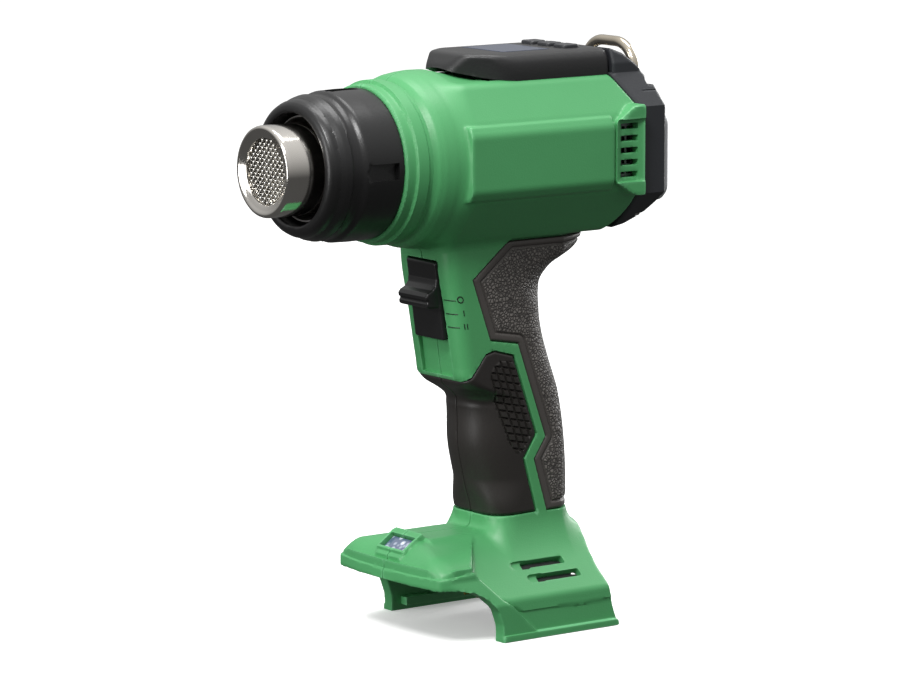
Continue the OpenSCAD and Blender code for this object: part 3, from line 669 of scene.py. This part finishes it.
def shoulder_slots(x, y, z):
    """Two slots in each shoulder, with a shallow lead-in at the front of each."""
    slots = None
    for row in (0, 1):
        at_x, at_y, at_z = SHOULDER_SLOT + row * SHOULDER_SLOT_STEP
        dx, dy, dz = x - at_x, y - at_y, z - at_z
        across = dy * math.cos(SHOULDER_LEAN) - dz * math.sin(SHOULDER_LEAN)
        depth = dy * math.sin(SHOULDER_LEAN) + dz * math.cos(SHOULDER_LEAN)
        deep = both(np.abs(across) - 1.75, slab(dx, 99.5, 119), 1.2)
        lead = both(np.abs(across) - 2.0, slab(dx, 94.5, 103), 2.2)
        slot = either(both(deep, slab(depth, -8, 8)), both(lead, -1.1 - depth, 0.8))
        slots = slot if slots is None else either(slots, slot)
    return slots


def vent_slots(x, y, z):
    """The inlet slots in the flank, a row of level openings."""
    row = np.abs((z - VENT_MIDDLE + VENT_HALF) % VENT_PITCH - VENT_PITCH / 2)
    slots = both(row - 1.1, slab(x, 139.2, 147.4), 0.4)
    pocket = box_field(x, y, z, (138, 20, -13), (148, 31.2, 14.4))
    return either(both(both(slots, slab(z - VENT_MIDDLE, -VENT_HALF, VENT_HALF)), 24 - y), pocket)


def inner_hollow(x, y, z):
    """The air duct, the handle's inside, the foot's inside and the battery bay."""
    r = np.hypot(y, z)
    duct = both(r - DUCT_R, slab(x, 62, 160))
    seat = both(r - 27.0, slab(x, 40, 63))
    handle = both(both(y - 12.2, x - smooth_curve(z, REAR_KNOTS) + 5, 4),
                  smooth_curve(z, FRONT_KNOTS) + 6 - x, 2)
    handle = both(both(handle, slab(z, -150, -24)), x - 118 - 0.3 * np.maximum(-50 - z, 0))
    foot = both(both(y - 11 - 0.8 * (-146 - z), slab(z, -155, -146)), slab(x, 64, 129))
    bay = both(both(slab(z, -200, -157.5), beyond(y, z, (27, -157.5), (33, -165))), y - 33)
    bay = either(both(bay, slab(x, 40, 160)), box_field(x, y, z, (104, -11, -160), (126, 11, -150)))
    top_open = both(slab(x, 89, 141), both(y - 18.4, 27.3 - z))
    return either(either(either(either(either(duct, seat), handle), foot), bay), top_open)


def housing_field(screw_side):
    """The field of one housing half; the screw side has the pockets for the screws' heads."""
    def field(x, y, z):
        solid = outer_shape(x, y, z)
        inside_grip = either(outline(x, z, GRIP_REAR), outline(x, z, GRIP_FRONT))
        solid = without(solid, both(inside_grip, -(solid + GRIP_T + 0.2)), 0.5)
        hollow = inner_hollow(x, y, z)
        rail = box_field(x, y, z, (86, 29.2, -176.6), (134, 36, -173.5))
        boss = None
        bore = None
        for at_x, at_z, pocket, length in SCREWS:
            r = np.hypot(x - at_x, z - at_z)
            one_boss = both(r - 3.6, y - length)
            one_bore = both(r - 1.5, y - pocket - 1)
            if screw_side:
                one_bore = either(one_bore, both(r - HEAD_R, pocket - y))
            boss = one_boss if boss is None else either(boss, one_boss)
            bore = one_bore if bore is None else either(bore, one_bore)
        solid = either(either(without(solid, hollow, 0.5), rail), both(boss, solid))
        solid = without(solid, bore, 0.3)
        out, up = track_place(x, z)
        track = both(both(slab(up, -29.4, 15.7), y - 9.6, 1.5), -2.2 - out)
        stem = both(both(slab(up, -13.5, 3), y - 3), -20 - out)
        body_room = both(both(slab(up, -17.3, 8.3), y - 8.3), slab(-out, 3.8, 18.3))
        solid = without(without(solid, track, 0.5), either(stem, body_room))
        solid = without(solid, either(vent_slots(x, y, z), shoulder_slots(x, y, z)), 0.3)
        return both(solid, SEAM - y, SEAM_EDGE)
    return field


def build_housing(step):
    low, high = (42.5, -1.4, FOOT_Z - 1.7), (152.0, 41.0, 36.0)
    for name, screw_side in (("housing_right", True), ("housing_left", False)):
        points, faces = contour(housing_field(screw_side), low, high, step)
        if not screw_side:
            points, faces = mirrored(points, faces)
        make_piece(name + "_shell", points, faces, GREEN, stands_for=[name], slot="green_nylon")


def grip_rear_field(x, y, z):
    """The rear grip cover: a smooth border, a groove, and a slightly crowned field inside it."""
    outer = handle_body(x, y, z)
    edge = outline(x, z, GRIP_REAR) + GRIP_GAP
    groove = 0.55 * np.exp(-((edge + 3.1) / 0.45) ** 2)
    crown = 0.25 * step_up(-edge, 3.1, 6)
    shell = both(outer + groove - crown + 0.15, edge, 1.1)
    shell = both(shell, z + 31.5, 1.1)
    shell = both(shell, -(outer + GRIP_T))
    return both(shell, 0.12 - y, 0.4)


def grip_front_field(x, y, z):
    """The front grip cover, with rows of small raised pads in a field along its back edge."""
    outer = handle_body(x, y, z)
    edge = outline(x, z, GRIP_FRONT) + GRIP_GAP
    column_lean, row_lean = math.radians(19.5), math.radians(12)
    column = ((x - 100) * math.cos(column_lean) + (z + 92) * math.sin(column_lean)) / 2.9
    row = ((x - 100) * math.sin(row_lean) + (z + 92) * math.cos(row_lean)) / 2.7
    inside = -outline(x, z, PAD_FIELD)
    from_edge = np.minimum(0.5 - np.abs(column - np.round(column)), 0.5 - np.abs(row - np.round(row))) * 2.8
    pad = np.clip((from_edge - 0.1) / 0.45, 0, 1)
    pads = np.where(y > 8, step_up(inside, 0, 0.7) * (0.5 - 0.75 * pad), 0)
    shell = both(outer + pads + 0.12, edge, 1.1)
    shell = both(shell, -(outer + GRIP_T))
    return both(shell, 0.14 - y, 0.7)


def build_grips(step):
    for name, field, material, slot, low, high, size in (
            ("grip_rear", grip_rear_field, GRAINED, "grained_rubber",
             (81, -1, -138), (144.5, 19, -29.5), step),
            ("grip_front", grip_front_field, SOFT, "soft_rubber",
             (77, -1, -139), (115.5, 19, -70.5), 0.75 * step)):
        points, faces = contour(field, low, high, size)
        x, z = points[:, 0], points[:, 2]
        grain = step_up(-(outline(x, z, GRIP_REAR) + GRIP_GAP), 3.4, 4.2)
        for side in ("right", "left"):
            piece = make_piece(f"{name}_{side}_cover", points, faces, material,
                               stands_for=[f"{name}_{side}"], slot=slot)
            if material == GRAINED:
                piece.data.attributes.new("grain", "FLOAT", "POINT").data.foreach_set("value", grain)
            points, faces = mirrored(points, faces)


# ---- guard, top panel, rear cover, pad, slider and keys --------------------------------------

GUARD_KNOTS = np.array([[12.9, 22.6], [13.3, 23.6], [14.2, 24.6], [15.6, 25.3], [16.6, 25.5], [17, 25.3],
                        [17.5, 25.7], [19.5, 26.6], [21.5, 27.1], [22.6, 26.6], [24.2, 26.3], [26, 26.7],
                        [27.4, 27.7], [28.2, 28.0], [35, 28.2], [44, 28.1], [44.2, 27.0], [60, 26.9]])


def guard_field(x, y, z):
    """The guard: turned bands, and an arrow flute with a deeper wedge at its back on four sides."""
    r = np.hypot(y, z)
    outer = (r - np.interp(x, GUARD_KNOTS[:, 0], GUARD_KNOTS[:, 1])) * 0.8
    outer = np.where(x > 44, r - 26.9, outer)
    shell = both(both(outer, slab(x, 13, 58), 1.0), 20.8 - r, 1.2)
    across = np.minimum(np.abs(y), np.abs(z))
    height = np.maximum(np.abs(y), np.abs(z))
    flute = both(across - np.minimum((x - 26.8) * 1.15, 3.1), x - 41.6)
    flute = both(flute, 27.75 - 0.09 * (x - 27) - height)
    wedge = both(both(across - (x - 37.2) * 0.62, x - 41.0), 26.0 - height)
    return without(shell, either(flute, wedge), 0.25)


def top_panel_field(x, y, z):
    """The top panel: a faceted hood over the display, with openings for the lens and the keys."""
    plan = convex(x, y, [(77.6, -60), (77.8, 7), (97, 22), (145, 22), (145, -60)], 3.5)
    side = convex(x, z, [(76, 20), (78, 33.4), (84, 39.6), (142, 39.6), (145, 38.8), (145, 20)], 1.2)
    section = convex(y, z, [(-60, 39.6), (17, 39.6), (20, 37.6), (22, 33.4), (22, 20), (-60, 20)], 1.5)
    shell = both(both(plan, side, 2.5), section, 2.0)
    under = either((np.hypot(y, z) - 33.4) * 0.9, motor_body(x, y, z), 2.5)
    shell = both(shell, 0.12 - under)
    hollow = both(convex(x, y, [(89, -60), (89, 11), (96.5, 18.4), (141, 18.4), (141, -60)]), z - 37.2)
    shell = without(shell, both(hollow, 20 - z))
    lens = box_field(x, y, z, (100, -13, 30), (122, 13, 50), 3)
    well = both(box_field(x, y, z, (99, -14, 39.0), (123, 14, 50), 3), 39.0 - z)
    rim = np.hypot(np.maximum(np.abs(x - KEY_X) - 3.6, 0), np.maximum(y - 14.4, 0))
    dip = both(rim - 2.4, 39.15 - z, 0.3)
    holes = None
    for at in (0, KEY_PITCH):
        hole = both(box_field(x, y, z, (KEY_X - 4, at - 4, 30), (KEY_X + 4, at + 4, 50), 1.5), 30 - z)
        holes = hole if holes is None else either(holes, hole)
    return without(shell, either(either(lens, well), either(dip, holes)), 0.4)


COVER_SIDE = [(145.2, 38.8), (151, 36.6), (158, 31.2), (162.6, 24), (164, 16), (164, -18), (160, -25),
              (154, -29), (148.2, -30.6), (150.2, -28.4), (150.2, 17.6), (143.2, 29.5), (145.2, 29.5)]
COVER_HOLLOW = [(140, 35.8), (150, 34), (156, 29.3), (160, 22.5), (161.4, 15), (161.4, -17),
                (158, -23), (153, -26), (140, -26)]
COVER_SECTION = [(-30, 39.4), (20, 39.4), (22, 33), (22, 29.4), (31, 17), (31, -16), (17, -30.6),
                 (-30, -30.6)]
COVER_INSIDE = [(-30, 37), (17, 37), (19, 32), (19, 28.4), (27.6, 16), (27.6, -14.6),
                (15.6, -27), (-30, -27)]
HOOK = (161, 26)
HOOK_LEG = 15


def rear_cover_field(x, y, z):
    """The rear cover: a faceted cap with slots for the hook and a flat seat for the pad."""
    outer = both(outline(x, z, COVER_SIDE), outline(y, z, COVER_SECTION), 1.6)
    shell = without(outer, both(outline(x, z, COVER_HOLLOW), outline(y, z, COVER_INSIDE)), 0.4)
    inner = both(np.hypot(x - HOOK[0], z - HOOK[1]) - 4.6, slab(y, 6, 12.6))
    inner = either(inner, box_field(x, y, z, (150.2, 6, 20), (161, 12.6, 29)))
    bores = None
    for at_y, at_z in ((24, 20.4), (20, -23)):
        r = np.hypot(y - at_y, z - at_z)
        inner = either(inner, both(r - 4, 150.2 - x))
        bore = either(both(r - 1.6, 140 - x), both(r - HEAD_R, 156 - x))
        bores = bore if bores is None else either(bores, bore)
    shell = either(shell, both(inner, outer))
    pivot = both(np.hypot(x - HOOK[0], z - HOOK[1]) - 2.1, y - 30)
    slot = box_field(x, y, z, (158.4, HOOK_LEG - 2.3, 23), (175, HOOK_LEG + 2.3, 50))
    seat = box_field(x, y, z, (162.4, -30, -20.5), (170, 29.5, 15.5))
    cuts = either(either(pivot, slot), either(seat, bores))
    return without(shell, cuts, 0.3)


def rear_pad_field(x, y, z):
    """The rear pad: an eight-sided cushion with a shallow recess, and a grip rib round its edge."""
    plan = convex(y, z, [(-60, 15), (25, 15), (29, 11), (29, -16), (25, -20), (-60, -20)], 1.5)
    block = both(plan, slab(x, 162.5, 167), 1.6)
    recess = convex(y, z, [(-60, 7), (18, 7), (20, 5), (20, -10), (18, -12), (-60, -12)], 1.0)
    block = without(block, both(recess, 165.2 - x, 0.6), 0.6)
    groove = 0.35 * np.exp(-((plan + 2.6) / 0.5) ** 2)
    return block + groove


def slider_field(x, y, z):
    """The switch slider: two flat pads, a thumb rib with two ridges between them, and a stem."""
    out, up = track_place(x, z)
    plate = box_field(out, y, up, (-1.9, -20, -15), (1.3, 9.2, 15.2), 1.0)
    line = [(-1.5, 8.6), (1.3, 8.2), (1.9, 6.4), (3.6, 5.0), (5.8, 4.3), (6.9, 3.2), (6.9, 2.0), (6.3, 1.4),
            (6.3, 1.0), (6.9, 0.4), (6.9, -0.6), (6.4, -1.3), (4, -1.9), (1.8, -2.2), (1.2, -3.2),
            (-1.5, -3.2)]
    rib = both(outline(out, up, line), y - 9.1, 0.8)
    stem = box_field(out, y, up, (-8, -20, -1.2), (-1, 2.4, 1.2))
    return either(either(plate, rib, 0.5), stem)


def key_field(at_y):
    """One key: a rounded square with a shallow dish on top."""
    def field(x, y, z):
        dx, dy = x - KEY_X, y - at_y
        block = both(both(np.abs(dx) - 3.7, np.abs(dy) - 3.7, 1.6), slab(z, 35, 40.4), 0.9)
        return without(block, np.sqrt(dx ** 2 + dy ** 2 + (z - 54) ** 2) - 13.9, 0.5)
    return field


def build_covers(step):
    pieces = (
        ("front_guard", "guard_sleeve", guard_field, GUARD, "guard_black", "root",
         (12, -29.5, -29.5), (59.5, 29.5, 29.5), step * 0.9),
        ("switch_slider", "slider_key", slider_field, SWITCH, "switch_black", "slider",
         (64, -10.5, -71), (84, 10.5, -36), step * 0.45),
        ("button_up", "key_up", key_field(-KEY_PITCH), KEY, "cover_grey", "up_key",
         (127, -15, 34), (137, -5, 41.5), step * 0.45),
        ("button_mode", "key_mode", key_field(0), KEY, "cover_grey", "mode_key",
         (127, -5, 34), (137, 5, 41.5), step * 0.45),
        ("button_down", "key_down", key_field(KEY_PITCH), KEY, "cover_grey", "down_key",
         (127, 5, 34), (137, 15, 41.5), step * 0.45),
        ("rear_pad", "pad_cushion", rear_pad_field, PAD, "pad_rubber", "root",
         (161.3, -30.5, -21.5), (168.2, 30.5, 16.5), step * 0.65),
        ("rear_cover", "rear_cap", rear_cover_field, CHARCOAL, "cover_grey", "root",
         (142, -33, -32), (165.5, 33, 41), step * 0.75),
        ("top_panel", "display_hood", top_panel_field, BLACK, "black_nylon", "root",
         (75.5, -23.5, 26), (147, 23.5, 41), step * 0.75),
    )
    for node, name, field, material, slot, body, low, high, size in pieces:
        def whole_field(x, y, z, field=field, same_sides=not node.startswith("button")):
            return field(x, np.abs(y) if same_sides else y, z)
        points, faces = contour(whole_field, low, high, size)
        make_piece(name, points, faces, material, body=body, stands_for=[node], slot=slot)


def bend(centre, radius, start, end, steps=14):
    """An arc in the plane across the barrel, as (x, y, z) points; angles run from +y towards +z."""
    angle = np.radians(np.linspace(start, end, steps))
    x = np.full(steps, float(centre[0]))
    return np.stack([x, centre[1] + radius * np.cos(angle), centre[2] + radius * np.sin(angle)], axis=1)


def build_hook():
    """The wire bail: pins that turn in the cover, two legs and a crown of 11 mm bends."""
    x, z = HOOK
    corner, crown, top = 2.6, 11.0, 39.3
    side = np.concatenate([
        np.array([[x, 8.0, z], [x, 8.4, z], [x, 10.5, z]]),
        bend((x, HOOK_LEG - corner, z + corner), corner, -90, 0),
        bend((x, HOOK_LEG - crown, top - crown), crown, 2, 90),
    ])
    other = side[::-1] * np.array([1, -1, 1])
    points, faces = swept(np.concatenate([side, other]), 2.0, 24)
    make_piece("hook_wire", points, faces, NICKEL, body="hook", stands_for=["hanging_hook"],
               slot="nickel_wire")


def build_nozzle():
    """The outlet tube with its rolled lip, and the woven screen that the lip holds."""
    profile = [(3.4, 12.3), (2.2, 12.15), (1.5, 12.4), (1.15, 13.0), (0.85, 13.9), (0.45, 14.7),
               (0.12, 15.3), (0.0, 15.8), (0.1, 16.3), (0.5, 16.7), (1.2, 16.93), (2.0, 17.0), (20, 17.0),
               (40, 17.0), (64.6, 17.0), (64.8, 17.2), (64.8, 24), (66, 24), (66, 16.2), (40, 16.2),
               (20, 16.2), (2.4, 16.2), (1.3, 15.8), (1.2, 15.1), (1.6, 14.2), (2.0, 13.2)]
    points, faces = turned(profile, 144)
    make_piece("outlet_tube", points, faces, STAINLESS, stands_for=["nozzle_tube"], slot="polished_steel")
    pitch, wire, reach, at = 1.42, 0.27, 12.7, 3.0
    wires = []
    for k in range(-8, 9):
        place = k * pitch
        half = math.sqrt(reach ** 2 - place ** 2)
        t = np.linspace(-half, half, 2 * int(half / pitch * 4) + 1)
        wave = wire * 0.95 * np.cos(math.pi * (t / pitch + k))
        wires.append(swept(np.stack([at + wave, t, 0 * t + place], axis=1), wire, 6))
        wires.append(swept(np.stack([at - wave, 0 * t + place, t], axis=1), wire, 6))
    points, faces = joined(wires)
    make_piece("outlet_screen", points, faces, MESH, stands_for=["nozzle_screen"], slot="plain_steel")


def on_handle(angle, height):
    """Points on the handle's rounded near edge: an angle about the edge's centre, and a height."""
    angle, height = np.broadcast_arrays(np.radians(np.asarray(angle, dtype=float)), height)
    centre = smooth_curve(height, FRONT_KNOTS) + 4.7
    near, far = np.zeros(angle.shape), np.full(angle.shape, 12.0)
    for _ in range(30):
        middle = (near + far) / 2
        x = centre + middle * np.cos(angle)
        y = 12.3 + middle * np.sin(angle)
        inside = handle_body(x, y, height) < -0.02
        near, far = np.where(inside, middle, near), np.where(inside, far, middle)
    return np.stack([centre + near * np.cos(angle), -12.3 - near * np.sin(angle), height], axis=-1)


def build_marks():
    """Thin filled marks beside the switch: a line to each stop, then a ring, one bar and two bars."""
    turn = np.linspace(0, 2 * math.pi, 33)
    marks = [swept(on_handle(108 + 14 * np.cos(turn), -51.7 + 1.15 * np.sin(turn)), 0.24, 6, (0.3, 1, 0.1))]
    bars = np.linspace(-1.15, 1.15, 9)
    for height in (-52.1, -57.3, -62.4):
        marks.append(swept(on_handle(np.linspace(200, 130, 24), height), 0.22, 6, (0, 0, 1)))
    for angle, height in ((101, -56.9), (107, -62.0), (92, -62.0)):
        marks.append(swept(on_handle(np.full(9, float(angle)), height + bars), 0.24, 6, (1, 0, 0)))
    points, faces = joined(marks)
    make_piece("switch_marks", points, faces, MARK, slot="black_nylon")


def build_slot_backs():
    """Dark plates that close the shoulder slots from below."""
    down = np.array([0, math.sin(SHOULDER_LEAN), math.cos(SHOULDER_LEAN)]) * -3.4
    along = np.linspace(98, 120, 5)[:, None] * np.array([1, 0, 0])
    plates = []
    for side in (-1, 1):
        for row in (0, 1):
            path = SHOULDER_SLOT + row * SHOULDER_SLOT_STEP + down + along
            plates.append(swept(path * np.array([1, side, 1]), 1.9, 8, (0, 0, 1)))
    points, faces = joined(plates)
    make_piece("slot_backs", points, faces, BLACK, slot="black_nylon")


def build_lamp_lens(step):
    """The clear window over the lamp, with softened edges."""
    def field(x, y, z):
        along, out = hood_place(x, z)
        return both(both(slab(along, -3.3, 3.3), np.abs(y) - 7.3, 0.5), slab(out, -1.6, 0.35), 0.4)
    points, faces = contour(field, (57, -8.5, -149.5), (66.5, 8.5, -141), step)
    make_piece("lamp_lens", points, faces, WINDOW, stands_for=["led_lens"], slot="led_window")


def build_filter_frames():
    """A round bar down the middle of each inlet, which holds the gauze behind the slots."""
    for side, y in (("right", 30.6), ("left", -30.6)):
        height = np.linspace(-11.2, 13.0, 9)
        points, faces = swept(np.stack([141.6 + 0 * height, y + 0 * height, height], axis=1), 0.8, 10)
        make_piece(f"filter_frame_{side}", points, faces, FILTER, slot="filter_mesh")


STEP = 0.72  # grid step of the moulded shells

build_housing(STEP * 1.09)
build_grips(STEP * 0.62)
build_covers(STEP)
build_hook()
build_nozzle()
build_marks()
build_slot_backs()
build_lamp_lens(STEP * 0.45)
build_filter_frames()

CAD_FINISHES = {
    OXIDE: ["housing_screws"],
    STEEL: ["rear_cover_screws", "heat_shield", "temperature_sensor", "motor_screws", "motor_shaft",
            "button_switches"],
    ZINC: ["motor_can", "thermal_fuse"],
    CERAMIC: ["heater_core", "heater_flange"],
    MICA: ["mica_sleeve"],
    COIL: ["heating_coil"],
    BLACK: ["fan_shroud", "fan_impeller", "motor_mount", "motor_end_cap", "switch_body", "terminal_block"],
    FERRITE: ["motor_magnets"],
    LAMINATE: ["motor_armature"],
    COPPER: ["motor_commutator"],
    BRONZE: ["motor_bush_front", "motor_bush_rear"],
    GLASS: ["display_lens"],
    CELL: ["display_module"],
    BOARD: ["display_board", "control_board", "led_board"],
    FILTER: ["inlet_filters"],
    SINK: ["heat_sink"],
    CAN: ["capacitor"],
    BRASS: ["terminal_blades"],
    SLEEVE: ["heater_leads"],
    WIRE: ["motor_leads", "battery_leads"],
}
for finish, nodes in CAD_FINISHES.items():
    for node in nodes:
        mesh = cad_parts[node].data
        mesh.materials.clear()
        mesh.materials.append(finish)

# ---- stage, lights and camera ---------------------------------------------------------------

CAMERA_AIM = np.array([85.08, 0.0, -68.61])
CAMERA_PLACE = np.array([-955.6, -1405.9, 202.35])
CAMERA_LENS = 188.3


def add_camera():
    data = bpy.data.cameras.new("camera")
    data.lens = CAMERA_LENS
    data.sensor_width = 36.0
    data.clip_end = 20.0
    camera = bpy.data.objects.new("camera", data)
    bpy.context.collection.objects.link(camera)
    place, aim = to_row(CAMERA_PLACE), to_row(CAMERA_AIM)
    camera.location = place
    camera.rotation_euler = Vector(aim - place).to_track_quat("-Z", "Y").to_euler()
    bpy.context.scene.camera = camera


def add_area(name, place, aim, size, power, colour=(1, 1, 1)):
    data = bpy.data.lights.new(name, "AREA")
    data.shape = "RECTANGLE"
    data.size, data.size_y = size
    data.energy = power
    data.color = colour
    light = bpy.data.objects.new(name, data)
    bpy.context.collection.objects.link(light)
    light.location = place
    light.rotation_euler = (Vector(aim) - Vector(place)).to_track_quat("-Z", "Y").to_euler()


def add_sky():
    """Soft light from all round: bright overhead, dimmer at the sides, dimmest from below."""
    world = bpy.data.worlds.new("studio")
    bpy.context.scene.world = world
    world.use_nodes = True
    direction = add(world, "ShaderNodeTexCoord").outputs["Generated"]
    height = add(world, "ShaderNodeSeparateXYZ", Vector=direction).outputs["Z"]
    ramp = add(world, "ShaderNodeMapRange", {"From Min": -0.2, "From Max": 0.9, "To Min": 0.1,
                                             "To Max": 1.0}, Value=height)
    link(world, ramp.outputs["Result"], world.node_tree.nodes["Background"].inputs["Strength"])
    world.node_tree.nodes["Background"].inputs["Color"].default_value = (1, 1, 1, 1)


FLOOR_FLAT = 2.3     # flat part of the studio floor, in metres
FLOOR_CURVE = 1.2    # radius of its upward curve
WALL_TOP = 2.6


def add_stage():
    """A pale round floor that curves up into a wall on all sides, and soft lights."""
    material, shader = new_material("pale_studio_paper")
    shader.inputs["Base Color"].default_value = linear("#f7f7f6")
    shader.inputs["Emission Color"].default_value = (1, 1, 1, 1)
    shader.inputs["Emission Strength"].default_value = 0.3
    shader.inputs["Roughness"].default_value = 0.9
    turn = np.radians(np.linspace(0, 90, 12))
    edge = FLOOR_FLAT + FLOOR_CURVE
    r = np.concatenate([[1e-6, 0.5, 1.2], FLOOR_FLAT + FLOOR_CURVE * np.sin(turn), [edge]])
    z = np.concatenate([[0, 0, 0], FLOOR_CURVE * (1 - np.cos(turn)), [WALL_TOP]])
    angle = np.linspace(0, 2 * math.pi, 96, endpoint=False)
    points = np.stack([r[:, None] * np.cos(angle), r[:, None] * np.sin(angle), z[:, None] + 0 * angle],
                      axis=-1).reshape(-1, 3)
    faces = grid_faces(len(r), len(angle), False, True)[:, ::-1]
    mesh = bpy.data.meshes.new("floor")
    mesh.from_pydata(points.tolist(), [], faces.tolist())
    mesh.materials.append(material)
    mesh.shade_smooth()
    floor = bpy.data.objects.new("floor", mesh)
    bpy.context.collection.objects.link(floor)
    floor.visible_diffuse = False
    floor.visible_glossy = False
    add_sky()
    add_area("key", (-0.75, -0.55, 1.25), (0, 0, 0.14), (0.38, 0.38), 15)
    add_area("front", (-1.3, 0.1, 0.35), (0, 0, 0.12), (0.5, 0.8), 8)
    add_area("top", (0.25, 0.15, 1.5), (0, 0, 0.14), (0.9, 0.5), 10)
    add_area("edge", (1.0, 0.2, 0.4), (0, 0, 0.14), (0.3, 0.7), 6)
    bpy.context.scene.view_settings.view_transform = "Standard"


add_camera()
add_stage()
